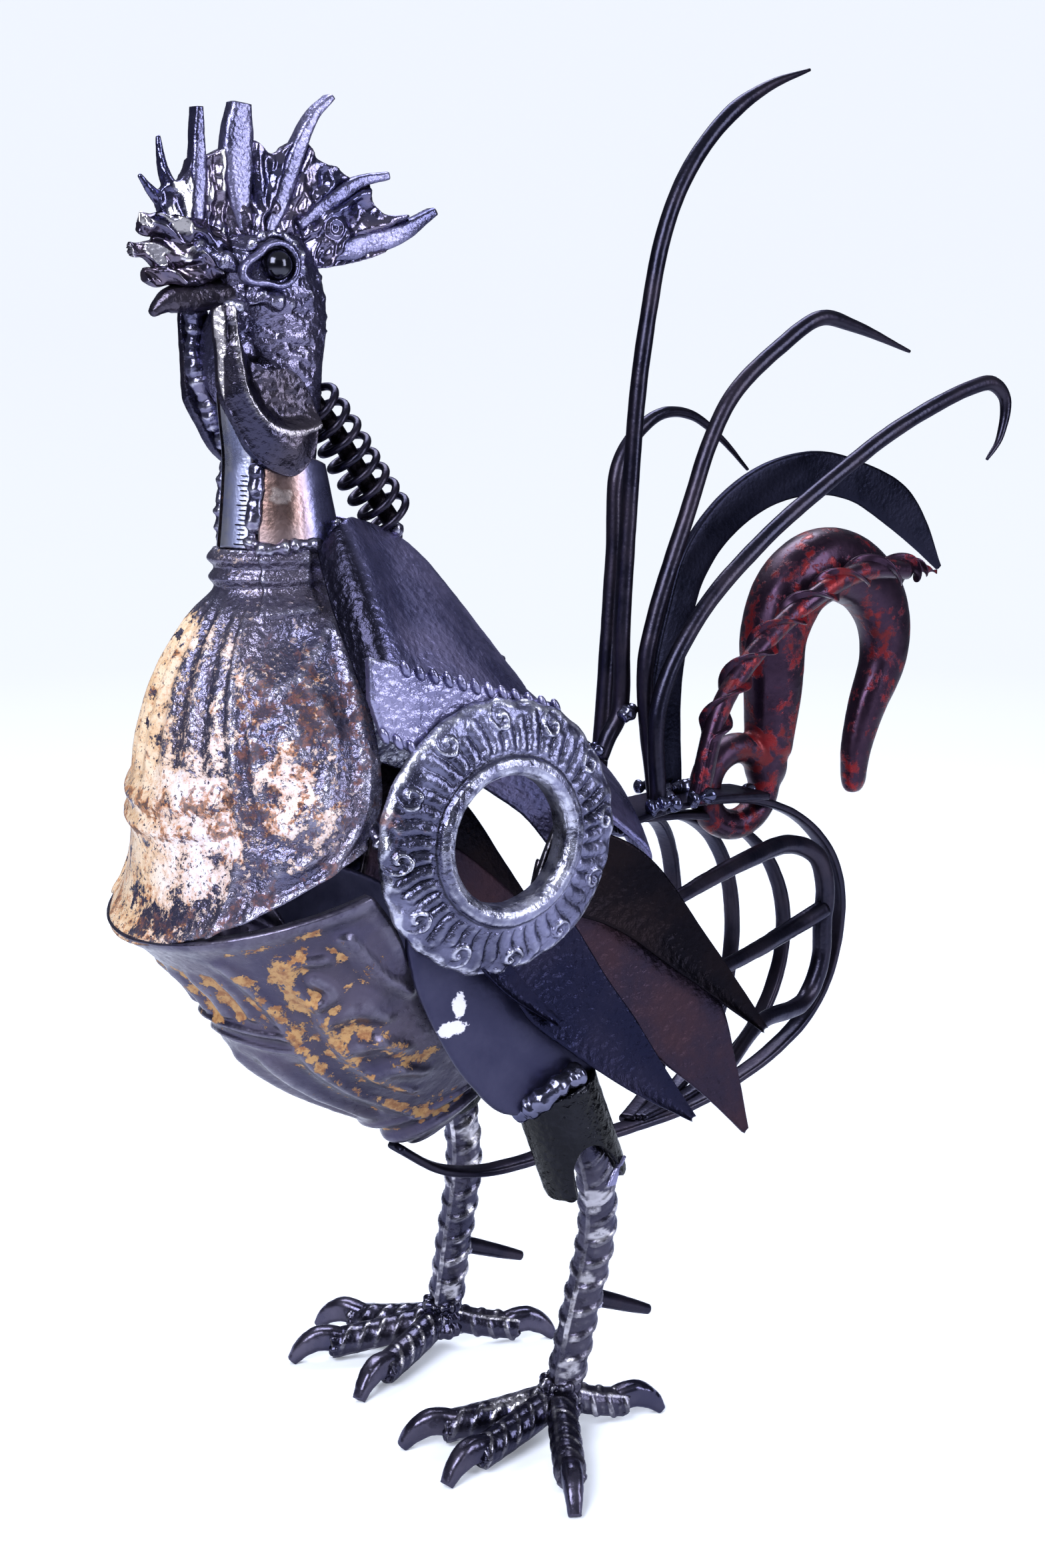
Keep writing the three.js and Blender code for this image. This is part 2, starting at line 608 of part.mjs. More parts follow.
// The two short front nails of the comb are welded into the web.
function combWeb() {
  const first = combSpike([[-136, 480], [-141, 484], [-146, 490]], 2.6, 1, 1);
  const second = combSpike([[-133, 482], [-137, 492], [-138.5, 503]], 2.8, 1, 1);
  return join(slab(COMB_WEB, 0, 6), first, second);
}

function addHead() {
  piece("skull", skull(), IRON);
  for (const [name, side] of [["left", LEFT], ["right", RIGHT]]) {
    piece("eye_ball_" + name, ball(v3(EYE_X, side * EYE_Y, EYE_Z), EYE_BALL), GROUND_STEEL);
    piece("eye_ring_" + name, teardropRing(side), GROUND_STEEL);
    const outline = side === LEFT ? WATTLE : WATTLE.map(([x, z]) => [x + 4, z - 1]);
    piece("wattle_" + name, slab(outline, side * 20, 9, 2), GROUND_STEEL);
  }
  piece("beak", beak(), IRON);
  piece("brow", slab(BROW, 0, 12, 0.7), IRON);
  for (const [name, path, base, tip, flat] of COMB_SPIKES) {
    piece("comb_spike_" + name, combSpike(path, base, tip, flat), GROUND_STEEL);
  }
  piece("comb_web", combWeb(), GROUND_STEEL);
}

// Hind body: side hoops like the meridians of an egg, and a keel hoop that runs on under the belly
const KEEL = [
  [56, 238], [80, 241], [105, 241.5], [135, 238], [161, 227], [180, 208], [187, 186], [183, 157],
  [171, 136], [150, 121], [128, 112], [102, 105], [67, 102], [40, 101], [12, 99], [-10, 100], [-30, 106],
  [-50, 120],
];

function hoopPath(degrees, inset) {
  const lean = radians(degrees);
  return range(11).map((i) => {
    const t = radians(4 + (172 * i) / 10);
    const out = Math.sin(t);
    const x = CAGE_FRONT + (CAGE_REACH - inset) * out ** 0.8 * Math.cos(lean);
    return v3(x, CAGE_HALF_WIDTH * out * Math.sin(lean), CAGE_Z + CAGE_HALF_HEIGHT * Math.cos(t));
  });
}

const keelHoop = () => flatBar(upright(0, KEEL), HOOP_WIDTH, HOOP_THICK, ACROSS, 24);

function sideHoops() {
  const hoop = (degrees, inset) => {
    const across = v3(-0.4 * Math.sin(radians(degrees)), Math.cos(radians(degrees)), 0);
    return flatBar(hoopPath(degrees, inset), 7.5, HOOP_THICK, across, 8);
  };
  return join(hoop(18, 9), hoop(38, 8), hoop(56, 7));
}

const FORK_FRAME = [
  [36, -56, 216], [100, -34, 222], [147, -14, 219], [162, -13, 211], [167, -13, 196], [166, -13, 182],
  [164, -14, 162], [154, -16, 148], [112, -34, 150], [72, -58, 143],
];
const FORK_MIDDLE = [[56, -58, 184], [110, -34, 183], [144, -18, 183], [165, -14, 187]];

function fork() {
  const outer = rod(onSide(1, FORK_FRAME), (t) => 2.6 + 1.6 * Math.sin(Math.PI * t), { sides: 6, steps: 18 });
  const middle = rod(onSide(1, FORK_MIDDLE), (t) => 2.6 + 1.6 * t, { sides: 6, steps: 5 });
  return join(outer, middle);
}

const tailSeat = () =>
  flatBar(onSide(1, [[46, -14, 244], [72, -7, 245], [100, -3, 245], [132, 0, 242]]), 26, 3.5, ACROSS, 5);

// Tail
const TINE_TALL = [
  [51, 266], [55, 274], [61, 284], [62, 319], [65, 367], [69, 414], [74, 445], [81, 475], [93, 500],
  [113, 522], [134, 535], [157, 543],
];
const TINE_BACK = [
  [60, 244], [64, 283], [67, 316], [70, 350], [72, 381], [80, 394], [96, 404], [113, 403], [131, 392],
  [146, 379],
];
const TINE_BENT = [
  [74, 244], [67, 302], [72, 325], [88, 366], [99, 394], [111, 413], [136, 432], [157, 443], [175, 440],
  [209, 429],
];
const TINE_NEAR = [
  [68, 244], [67, 289], [86, 323], [120, 353], [163, 380], [194, 397], [236, 413], [250, 415], [258, 408],
  [255, 391], [247, 382],
];
const SICKLE_OUTER = [
  [82, 245], [80, 290], [88, 325], [97, 349], [114, 368], [139, 382], [170, 387], [198, 381], [223, 370],
  [236, 355], [247, 333],
];
const SICKLE_INNER = [
  [98, 245], [97, 290], [102, 318], [108, 335], [120, 350], [141, 363], [166, 368], [190, 365], [213, 353],
  [229, 343], [246, 331],
];
const HOOK_PATH = [
  [150, 256], [152, 284], [152, 309], [163, 329], [183, 337], [205, 328], [217, 311], [218, 292], [209, 271],
  [203, 251], [202, 236],
];
const HOOK_RADII = [11, 13, 15, 16.5, 17, 16, 14, 12, 10, 8, 6];
const AUGER_PATH = [[90, 245], [102, 284], [122, 307], [151, 326], [181, 336], [209, 335], [226, 333]];
const NOTCHED_BAR = [
  [84, 245], [87, 300], [89, 326], [91, 336], [99, 338], [98, 330], [102, 326], [99, 300], [98, 245],
];

// A tine swung sideways from its root to its tip; a drawn one tapers to a point.
function tine(path, rootY, tipY, drawn) {
  const points = path.map(([x, z], i) => v3(x, rootY + ((tipY - rootY) * i) / (path.length - 1), z));
  const taper = (t) => (t < 0.55 ? TINE : TINE - (TINE - 1.1) * ((t - 0.55) / 0.45) ** 1.3);
  return rod(points, drawn ? taper : TINE, { sides: 6, steps: 12 });
}

function listed(values, t) {
  const place = t * (values.length - 1);
  const i = Math.min(values.length - 2, Math.floor(place));
  return values[i] + (values[i + 1] - values[i]) * (place - i);
}

function craneHook() {
  const shape = { sides: 8, steps: 11, flat: 1.2, reference: ACROSS };
  const body = rod(upright(8, HOOK_PATH), (t) => listed(HOOK_RADII, t) * 0.82, shape);
  const turns = 10;
  const eye = range(turns).map((i) => {
    const angle = (i / turns) * 2 * Math.PI;
    const out = v3(Math.cos(angle), 0, Math.sin(angle));
    return ellipse({ at: v3(131, 8, 243).addScaledVector(out, 17), side: out, up: ACROSS }, 6.8, 7.4, 6);
  });
  return join(body, loft(eye, true));
}

// Twist bit: a flattened section that turns along the path, a plain shank below and a screw point above
function augerBit() {
  const shankEnd = 0.16;
  const pointStart = 0.92;
  const ring = (s) => {
    const shank = s.share < shankEnd;
    const tip = s.share > pointStart ? Math.max(0.2, (1 - s.share) / (1 - pointStart)) : 1;
    const spin = shank ? 0 : (s.share - shankEnd) * 6.6 * 2 * Math.PI;
    const side = offset(s, Math.cos(spin), Math.sin(spin)).sub(s.at);
    const turned = { at: s.at, side, up: s.along.clone().cross(side) };
    return ellipse(turned, (shank ? 4 : 7) * tip, (shank ? 4 : 2.6) * tip, 4);
  };
  const steps = 80;
  return loft(stations(upright(-16, AUGER_PATH), steps, ACROSS).map(ring));
}

function addTail() {
  piece("tail_seat", tailSeat(), IRON);
  piece("keel_hoop", keelHoop(), IRON);
  piece("fork", fork(), IRON);
  piece("crane_hook", craneHook(), RED_PAINT);
  const augerEnvelope = rod(upright(-16, AUGER_PATH), 7.2, { sides: 8, steps: 6 });
  piece("auger_bit", augerBit(), RED_PAINT, augerEnvelope);
  piece("tine_near", tine(TINE_NEAR, -18, -23, false), IRON);
  piece("tine_tall", tine(TINE_TALL, 0, 0, true), IRON);
  piece("tine_bent", tine(TINE_BENT, -9, -11, true), IRON);
  piece("tine_back", tine(TINE_BACK, 14, 21, false), IRON);
  const blade = { thick: 4, across: 2, steps: 14 };
  piece("sickle", panel(upright(4, SICKLE_OUTER), upright(4, SICKLE_INNER), blade), IRON);
  piece("notched_bar", slab(NOTCHED_BAR, 8.6, 4), IRON);
  piece("side_hoops", sideHoops(), IRON);
}

addLegs();
addWings();
addBreast();
addBack();
addNeck();
addHead();
addTail();

// The frame's origin is the middle of the bottom of the whole bird's box.
const box = new THREE.Box3().setFromObject(sculpture);
const middle = box.getCenter(new THREE.Vector3());
sculpture.children.forEach((mesh) => mesh.position.set(-middle.x, -middle.y, -box.min.z));

export default sculpture;
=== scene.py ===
"""A rooster welded from scrap iron: the finished look of its bars, castings, sheets and welds."""

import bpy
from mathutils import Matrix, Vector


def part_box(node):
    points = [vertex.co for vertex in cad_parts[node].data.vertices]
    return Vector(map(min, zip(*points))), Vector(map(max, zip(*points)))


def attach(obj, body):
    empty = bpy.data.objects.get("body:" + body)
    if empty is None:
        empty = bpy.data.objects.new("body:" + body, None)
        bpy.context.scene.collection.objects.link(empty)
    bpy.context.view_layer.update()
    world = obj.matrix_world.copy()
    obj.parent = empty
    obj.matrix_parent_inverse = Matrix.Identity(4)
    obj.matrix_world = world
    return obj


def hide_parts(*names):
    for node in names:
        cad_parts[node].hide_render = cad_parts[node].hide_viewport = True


bl_info = {
    "name": "Scrap iron rooster",
    "version": (1, 0, 0),
    "blender": (4, 5, 0),
    "location": "View3D > Sidebar > Rooster",
    "description": "Finishes a welded rooster around its solids",
    "category": "Object",
}

import math

import bmesh
import bpy
import numpy as np
from mathutils import Vector, noise

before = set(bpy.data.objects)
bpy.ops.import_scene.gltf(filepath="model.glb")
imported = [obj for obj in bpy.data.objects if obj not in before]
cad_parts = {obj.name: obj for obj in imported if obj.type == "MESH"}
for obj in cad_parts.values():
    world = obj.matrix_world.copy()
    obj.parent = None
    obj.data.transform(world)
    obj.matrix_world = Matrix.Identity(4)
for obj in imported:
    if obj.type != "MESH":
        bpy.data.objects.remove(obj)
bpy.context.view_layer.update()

# Sizes in millimetres, in the bird's own frame: it looks along -X, its left is -Y, the floor is z = 0
MM = 0.001
LEFT = -1
RIGHT = 1
SIDES = (("left", LEFT), ("right", RIGHT))
ACROSS = (0.0, 1.0, 0.0)
SHEET = 2.4
FOOT_Y = 44
LEG_CORE = 7.2
TOE_CORE = 5.8
CLAW_LENGTH = 22
CLAW_WIDE = [3.9, 4.3, 4.2, 3.8, 3.2, 2.5]
CLAW_HIGH = [4.9, 5.4, 5.3, 4.7, 3.6, 2.2]
RING_X = -45.5
RING_Z = 259
RING_BACK = 66
RING_RADIUS = 51
RING_HOLE = 24
RING_SCROLLS = 12
NECK_X = -97
NECK_FOOT = 362.6
NECK_HEIGHT = 33.4
NECK_RADIUS = 21.0
NECK_BORE = 18.6
EYE = (-102.5, 15.5, 460.5)
EYE_BALL = 5.6
TINE = 3.6
SHELL_WALL = 5
# Pipe sockets: ends of the axis on the right side, radii, and the arch burnt out in front
SOCKET_TOP = (-7.0, 50.0, 150.0)
SOCKET_LOW = (6.5, 51.0, 112.0)
SOCKET_RADIUS = 17.0
SOCKET_BORE = 13.7
ARCH_HEIGHT = 20.0
# Half width of the arch and its shift round the pipe, in radians
ARCH_HALF = 0.66
ARCH_SHIFT = 0.16
# Torn flap at the right foot of the near socket's arch: its upper and lower edges
FLAP_TOP = [(17, 63.5, 121.5), (10, 67, 119)]
FLAP_LOW = [(9.5, 66, 111.5), (4.5, 68.5, 113)]

LEG_PATHS = {
    LEFT: [(0, 44, 11), (9, 44, 47), (18, 44, 83), (15, 47, 108), (8, 49, 128)],
    RIGHT: [(0, 44, 11), (6, 44, 47), (12, 44, 85), (12, 47, 108), (8, 49, 128)],
}
SPUR_PATHS = {LEFT: [(13, 44, 56), (45, 44, 41)], RIGHT: [(8, 44, 48), (42, 44, 33)]}
# Heading in degrees from +X towards +Y, and the claw's reach from the leg
TOES = {
    LEFT: {"outer": (-121, 68), "middle": (-170, 64), "inner": (158, 66), "hind": (-14, 46)},
    RIGHT: {"outer": (124, 61), "middle": (157, 67), "inner": (-159, 60), "hind": (-23, 51)},
}
SCUFFED_TOE = (LEFT, 158)
# Rows of a feather: upper edge x, distance from the middle plane, upper edge z, lower edge x, lower edge z
FEATHER_UPPER = [
    (-16, 64, 262, -30, 230), (22, 66, 244, 6, 217), (53, 69, 205, 38, 194), (82, 72, 164, 80, 162),
]
FEATHER_MIDDLE = [
    (-22, 59, 246, -30, 212), (25, 60.5, 217, 6, 190), (62, 63, 181, 29, 162), (72, 65, 148, 56, 138),
    (77, 67, 121, 75, 119),
]
FEATHER_LOWER = [
    (-10, 64, 222, -44, 212), (6, 66, 196, -32, 188), (18, 67, 179, -14, 172), (32, 69, 156, 15, 150),
    (46, 71, 134, 44, 132),
]
FEATHER_TONGUE = [(-44, 69, 214, -57, 214), (-33, 70, 200, -44, 200), (-19, 71, 186, -22, 184)]
THIGH = [
    (-77, 227), (-76, 209), (-62, 178), (-50, 161), (-36, 148), (-12, 146), (8, 160), (2, 190), (-20, 212),
    (-50, 225),
]
SHOULDER = [(-97, 329), (-18, 305), (-8, 292), (-30, 280), (-70, 288), (-92, 300), (-97, 314)]
ROPE_TOP = [(-83, 323.5), (-50, 313.5), (-19, 304)]
ROPE_LOW = [(-92, 301), (-81, 295.5)]
# Rows of a breast shell: front x and z, rear edge x and z, half width
UPPER_ROWS = [
    (-121, 362, -88, 362, 19.5), (-123.5, 358.5, -88, 358.5, 21), (-121, 355, -88, 355, 19.5),
    (-123, 351.5, -88, 351.5, 21), (-121, 348, -87.5, 348.5, 20), (-128.5, 340, -87, 342, 27),
    (-137, 328, -87.5, 333, 35), (-144, 314, -89, 321, 43.5), (-150, 293, -89, 304, 53),
    (-152.5, 271, -89, 288, 58), (-153, 254, -90, 276, 60), (-155, 240, -93, 268, 60),
    (-161, 225, -97, 260, 59),
]
LOWER_ROWS = [
    (-162, 226, -97, 244, 64), (-148, 213, -85, 230, 60), (-134, 198, -74, 210, 54),
    (-126, 185, -65, 193, 48), (-117, 170, -54, 178, 42), (-98, 154, -42, 165, 34), (-76, 141, -32, 155, 27),
    (-60, 130, -26, 146, 21), (-45, 119, -20, 137, 14),
]
BACK_RIDGE = [
    (-91, 20, 362), (-84, 24, 371), (-64, 6, 369.5), (-43, 2.2, 360), (-21, 2.2, 337), (-2, 2.2, 312),
]
BACK_FLANK = [(-91, 51, 314), (-86, 58, 318), (-70, 59, 314), (-52, 59, 309), (-36, 59, 303), (-22, 58, 296)]
SADDLE_RIDGE = [(-1, 0, 311), (31, 0, 284), (63, 0, 251), (64, 0, 234)]
SADDLE_FLANK = [(-20, 57, 293), (16, 52, 258), (44, 44, 236), (50, 34, 224)]
THROAT = [(-119, 427), (-119.5, 418), (-119, 408), (-118, 394), (-119, 380), (-121, 362.6)]
SPRING_AXIS = [(-81, 414), (-72, 403), (-62, 388), (-54, 377), (-47.5, 368)]
WATTLE = [
    (-128, 446), (-128, 430), (-127, 416), (-122, 406), (-116, 396), (-108, 390), (-100, 388), (-93, 393),
    (-90, 401), (-91, 411), (-95, 420), (-101, 425), (-109, 425), (-117, 429), (-122, 437), (-123, 446),
]
WATTLE_LIP = [(-124.5, 447), (-123, 430), (-120, 417), (-113, 407), (-103, 402.5), (-93, 403.5), (-88, 406)]
COMB_WEB = [
    (-140, 480), (-138, 486), (-133.5, 487.5), (-129, 491), (-126, 497), (-121, 497), (-115, 499.5),
    (-105, 504), (-102, 501.5), (-98, 499), (-94, 499), (-89, 502), (-81.5, 506), (-80.5, 502), (-78, 498),
    (-74, 496), (-70, 495.5), (-64.5, 492), (-55.5, 490), (-56, 486), (-53, 480.5), (-47.5, 479), (-40, 479),
    (-39, 473.5), (-48, 467.5), (-59.5, 463), (-69.5, 461), (-80, 460), (-95, 464), (-110, 467), (-124, 469),
    (-135, 474),
]
# Path in x and z, half widths from base to tip, half thickness
COMB_SPIKES = {
    "third": ([(-125.4, 475), (-124.3, 494), (-123.8, 513)], [2.2, 3.0, 2.9, 2.3, 1.6], 3.3),
    "fourth": ([(-109, 472), (-109, 485), (-109, 500), (-107.3, 515)], [1.4, 3.8, 5.4, 6.2, 5.6, 4.0], 3.7),
    "fifth": (
        [(-98, 472), (-92, 485), (-85, 501), (-79, 512), (-71.5, 519)], [1.8, 3.6, 3.5, 3.0, 2.2, 1.3], 3.5),
    "sixth": ([(-85.5, 474.5), (-71.5, 484), (-60, 490.5), (-48.5, 493)], [1.8, 3.2, 3.0, 2.2, 1.5], 3.4),
    "seventh": ([(-76, 464), (-60.5, 468), (-43, 473), (-28.5, 481)], [2.4, 4.2, 4.2, 3.2, 1.6], 3.4),
}
COMB_HEART = (-92, 440)
COMB_PUDDLE = (-72, 474)
COMB_GROUND = 3.9
COMB_GROUND_BACK = -114
COMB_NAILS = [
    ([(-136, 480), (-141, 484), (-146, 490)], 2.8),
    ([(-133, 482), (-137, 492), (-138.5, 503)], 3.0),
]
SKULL_ROWS = [
    (-96, 388, 14, 13), (-94, 412, 15, 13), (-95, 426, 17, 14), (-96, 440, 20, 15), (-98, 452, 21, 16),
    (-100, 463, 20, 14), (-100, 471, 15, 8),
]
KEEL = [
    (56, 238), (80, 241), (105, 241.5), (135, 238), (161, 227), (180, 208), (187, 186), (183, 157),
    (171, 136), (150, 121), (128, 112), (102, 105), (67, 102), (40, 101), (12, 99), (-10, 100), (-30, 106),
    (-50, 120),
]
CAGE_FRONT = 62
CAGE_REACH = 121
CAGE_Z = 171
CAGE_HALF_HEIGHT = 67
CAGE_HALF_WIDTH = 50
FORK_FRAME = [
    (36, -56, 216), (100, -34, 222), (147, -14, 219), (162, -13, 211), (167, -13, 196), (166, -13, 182),
    (164, -14, 162), (154, -16, 148), (112, -34, 150), (72, -58, 143),
]
FORK_MIDDLE = [(56, -58, 184), (110, -34, 183), (144, -18, 183), (165, -14, 187)]
TAIL_SEAT = [(46, -14, 244), (72, -7, 245), (100, -3, 245), (132, 0, 242)]
TINE_TALL = [
    (51, 266), (55, 274), (61, 284), (62, 319), (65, 367), (69, 414), (74, 445), (81, 475), (93, 500),
    (113, 522), (134, 535), (157, 543),
]
TINE_BACK = [
    (60, 244), (64, 283), (67, 316), (70, 350), (72, 381), (80, 394), (96, 404), (113, 403), (131, 392),
    (146, 379),
]
TINE_BENT = [
    (74, 244), (67, 302), (72, 325), (88, 366), (99, 394), (111, 413), (136, 432), (157, 443), (175, 440),
    (209, 429),
]
TINE_NEAR = [
    (68, 244), (67, 289), (86, 323), (120, 353), (163, 380), (194, 397), (236, 413), (250, 415), (258, 408),
    (255, 391), (247, 382),
]
SICKLE_OUTER = [
    (82, 245), (80, 290), (88, 325), (97, 349), (114, 368), (139, 382), (170, 387), (198, 381), (223, 370),
    (236, 355), (247, 333),
]
SICKLE_INNER = [
    (98, 245), (97, 290), (102, 318), (108, 335), (120, 350), (141, 363), (166, 368), (190, 365), (213, 353),
    (229, 343), (246, 331),
]
HOOK_PATH = [
    (150, 256), (152, 284), (152, 309), (163, 329), (183, 337), (205, 328), (217, 311), (218, 292),
    (209, 271), (203, 251), (202, 236),
]
HOOK_Y = 8
HOOK_RADII = [11, 13, 15, 16.5, 17, 16, 14, 12, 10, 8, 6]
AUGER_PATH = [(90, 245), (102, 284), (122, 307), (151, 326), (181, 336), (209, 335), (226, 333)]
NOTCHED_BAR = [
    (84, 245), (87, 300), (89, 326), (91, 336), (99, 338), (98, 330), (102, 326), (99, 300), (98, 245),
]

# Camera of the view: place in the bird's frame, heading and dip in degrees, vertical field of view
CAMERA_PLACE = (-472.8, -692.9, 439.7)
CAMERA_HEADING = -35.0
CAMERA_DIP = 12.0
CAMERA_VIEW = 40.0
SENSOR = 36.0


def bird_origin():
    """Where the bird's own origin, on the floor between its feet, lies in the frame."""
    low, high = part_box("wing_ring_left")
    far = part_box("wing_ring_right")[1]
    return np.array([(low.x + high.x) / 2 - RING_X * MM, (low.y + far.y) / 2, 0.0])


ORIGIN = bird_origin()


def placed(points):
    """Bird millimetres to metres in the frame."""
    return np.asarray(points, float) * MM + ORIGIN


def on_side(side, points):
    return [(x, side * y, z) for x, y, z in points]


def upright(y, points):
    return [(x, y, z) for x, z in points]


def unit(vectors):
    vectors = np.asarray(vectors, float)
    return vectors / np.maximum(np.linalg.norm(vectors, axis=-1, keepdims=True), 1e-9)


def step(value, start, end):
    """Smooth rise from 0 at start to 1 at end."""
    share = np.clip((value - start) / (end - start), 0, 1)
    return share * share * (3 - 2 * share)


def fall(value, start, end):
    """Smooth fall from 1 at start to 0 at end."""
    return 1 - step(value, start, end)


def swell(value, middle, width):
    return np.exp(-(((value - middle) / width) ** 2))


def full_turn(count):
    """Angles at even distances round a circle."""
    return np.linspace(0, 2 * math.pi, count, endpoint=False)


# Curves
def smooth(points, shares):
    """Points of the smooth curve through the given ones; shares count the knots evenly."""
    knots = np.asarray(points, float)
    padded = np.vstack([2 * knots[0] - knots[1], knots, 2 * knots[-1] - knots[-2]])
    last = len(knots) - 1
    curve = []
    for place in np.clip(shares, 0, 1) * last:
        i = min(int(place), last - 1)
        p0, p1, p2, p3 = padded[i:i + 4]
        k0, k1, k2 = (max(np.linalg.norm(b - a), 1e-8) ** 0.5 for a, b in ((p0, p1), (p1, p2), (p2, p3)))
        m1 = ((p1 - p0) / k0 - (p2 - p0) / (k0 + k1) + (p2 - p1) / k1) * k1
        m2 = ((p2 - p1) / k1 - (p3 - p1) / (k1 + k2) + (p3 - p2) / k2) * k1
        w = place - i
        bend = -3 * p1 + 3 * p2 - 2 * m1 - m2
        curve.append(p1 + m1 * w + bend * w ** 2 + (2 * p1 - 2 * p2 + m1 + m2) * w ** 3)
    return np.array(curve)


def even_path(points, steps):
    """The same curve at even distances."""
    fine = smooth(points, np.linspace(0, 1, len(points) * 24))
    run = np.concatenate([[0], np.cumsum(np.linalg.norm(np.diff(fine, axis=0), axis=1))])
    wanted = np.linspace(0, run[-1], steps + 1)
    return np.column_stack([np.interp(wanted, run, fine[:, k]) for k in range(fine.shape[1])])


def frames_along(path, reference):
    """Side and up at each point; the side keeps to the reference or turns as little as it can."""
    along = unit(np.gradient(path, axis=0))
    if reference is not None:
        wish = np.asarray(reference, float)
        side = unit(wish - (along @ wish)[:, None] * along)
        return side, np.cross(along, side)
    side = [unit(np.cross(along[0], (0.3, 0.9, 0.31)))]
    for direction in along[1:]:
        side.append(unit(side[-1] - direction * (side[-1] @ direction)))
    side = np.array(side)
    return side, np.cross(along, side)


def sized(size, share):
    """A size along a bar: a number, a list of sizes at even shares, or a function of the share."""
    if callable(size):
        return size(share)
    if isinstance(size, (list, tuple)):
        return np.interp(share, np.linspace(0, 1, len(size)), size)
    return np.full_like(share, size)


def line_distance(u, v, line):
    """Distance to a drawn line in the plane, and the side on which a point lies."""
    nearest = np.full(np.shape(u), 1e9)
    sign = np.ones(np.shape(u))
    for (u0, v0), (u1, v1) in zip(line[:-1], line[1:]):
        du, dv = u1 - u0, v1 - v0
        share = np.clip(((u - u0) * du + (v - v0) * dv) / (du * du + dv * dv), 0, 1)
        distance = np.hypot(u - u0 - share * du, v - v0 - share * dv)
        closer = distance < nearest
        nearest = np.where(closer, distance, nearest)
        sign = np.where(closer, np.sign(du * (v - v0) - dv * (u - u0)), sign)
    return nearest, sign


# Meshes
def grid_faces(rows, columns, wrap_rows=False, wrap_columns=False):
    row = np.arange(rows if wrap_rows else rows - 1)[:, None]
    column = np.arange(columns if wrap_columns else columns - 1)[None, :]
    below = (row + 1) % rows
    beside = (column + 1) % columns
    corners = [(row, column), (row, beside), (below, beside), (below, column)]
    grids = [np.broadcast_to(r * columns + c, (row.size, column.size)) for r, c in corners]
    return np.stack(grids, -1).reshape(-1, 4).tolist()


def mesh_object(name, points, faces, edges=()):
    mesh = bpy.data.meshes.new(name)
    mesh.from_pydata(placed(points).tolist(), list(edges), faces)
    if faces:
        work = bmesh.new()
        work.from_mesh(mesh)
        bmesh.ops.recalc_face_normals(work, faces=work.faces[:])
        work.to_mesh(mesh)
        work.free()
        mesh.polygons.foreach_set("use_smooth", [True] * len(mesh.polygons))
    piece = bpy.data.objects.new(name, mesh)
    bpy.context.scene.collection.objects.link(piece)
    return piece


def lofted(name, rings, closed=False):
    """Skin over successive closed rings, capped at both ends or joined into a loop."""
    rings = np.asarray(rings, float)
    count, around = rings.shape[:2]
    faces = grid_faces(count, around, wrap_rows=closed, wrap_columns=True)
    if not closed:
        faces.append(list(range(around)))
        faces.append(list(range((count - 1) * around, count * around)))
    return mesh_object(name, rings.reshape(-1, 3), faces)


def thick_grid(name, outer, inner):
    """Closed sheet between two grids of the same size."""
    rows, columns = outer.shape[:2]
    count = rows * columns
    faces = grid_faces(rows, columns)
    faces += [[count + i for i in reversed(face)] for face in grid_faces(rows, columns)]
    rim = [*range(columns), *range(2 * columns - 1, count, columns)]
    rim += [*range(count - 2, count - columns - 1, -1), *range(count - 2 * columns, 0, -columns)]
    faces += [[a, count + a, count + b, b] for a, b in zip(rim, rim[1:] + rim[:1])]
    return mesh_object(name, np.concatenate([outer.reshape(-1, 3), inner.reshape(-1, 3)]), faces)


def grid_normals(grid):
    return unit(np.cross(np.gradient(grid, axis=1), np.gradient(grid, axis=0)))


def bar(name, path, wide, thick=None, reference=None, sides=16, steps=60, power=2.0):
    """Bar along a smooth path; the power squares its section, 2 for round and more for flat."""
    centre = even_path(path, steps)
    side, up = frames_along(centre, reference)
    share = np.linspace(0, 1, steps + 1)
    a = sized(wide, share)[:, None, None]
    b = sized(wide if thick is None else thick, share)[:, None, None]
    angle = (np.arange(sides) + 0.5) / sides * 2 * math.pi
    c = (np.sign(np.cos(angle)) * np.abs(np.cos(angle)) ** (2 / power))[None, :, None]
    s = (np.sign(np.sin(angle)) * np.abs(np.sin(angle)) ** (2 / power))[None, :, None]
    return lofted(name, centre[:, None] + side[:, None] * a * c + up[:, None] * b * s)


def panel(name, left_edge, right_edge, thick=SHEET, crown=0.0, across=22, steps=60):
    """Bent sheet between two edges, with narrow rounded rims; the crown lifts its middle."""
    rows = np.linspace(0, 1, steps + 1)
    left = smooth(left_edge, rows)
    right = smooth(right_edge, rows)
    normal = unit(np.cross(right - left, np.gradient((left + right) / 2, axis=0)))
    share = 0.5 - 0.5 * np.cos(np.linspace(0, math.pi, across + 1))
    lift = np.sqrt(np.maximum(0, 1 - np.abs(2 * share - 1) ** 40)) * thick / 2
    arch = 4 * share * (1 - share) * crown
    middle = left[:, None] + (right - left)[:, None] * share[None, :, None]
    outer = middle + normal[:, None] * (arch + lift)[None, :, None]
    inner = middle + normal[:, None] * (arch - lift)[None, :, None]
    return lofted(name, np.concatenate([outer, inner[:, -2:0:-1]], axis=1))


def plate(name, outline, y, thick):
    """Plate cut to an outline in x and z."""
    count = len(outline)
    points = upright(y - thick / 2, outline) + upright(y + thick / 2, outline)
    faces = [list(range(count)), list(range(2 * count - 1, count - 1, -1))]
    faces += [[i, (i + 1) % count, count + (i + 1) % count, count + i] for i in range(count)]
    return mesh_object(name, points, faces)


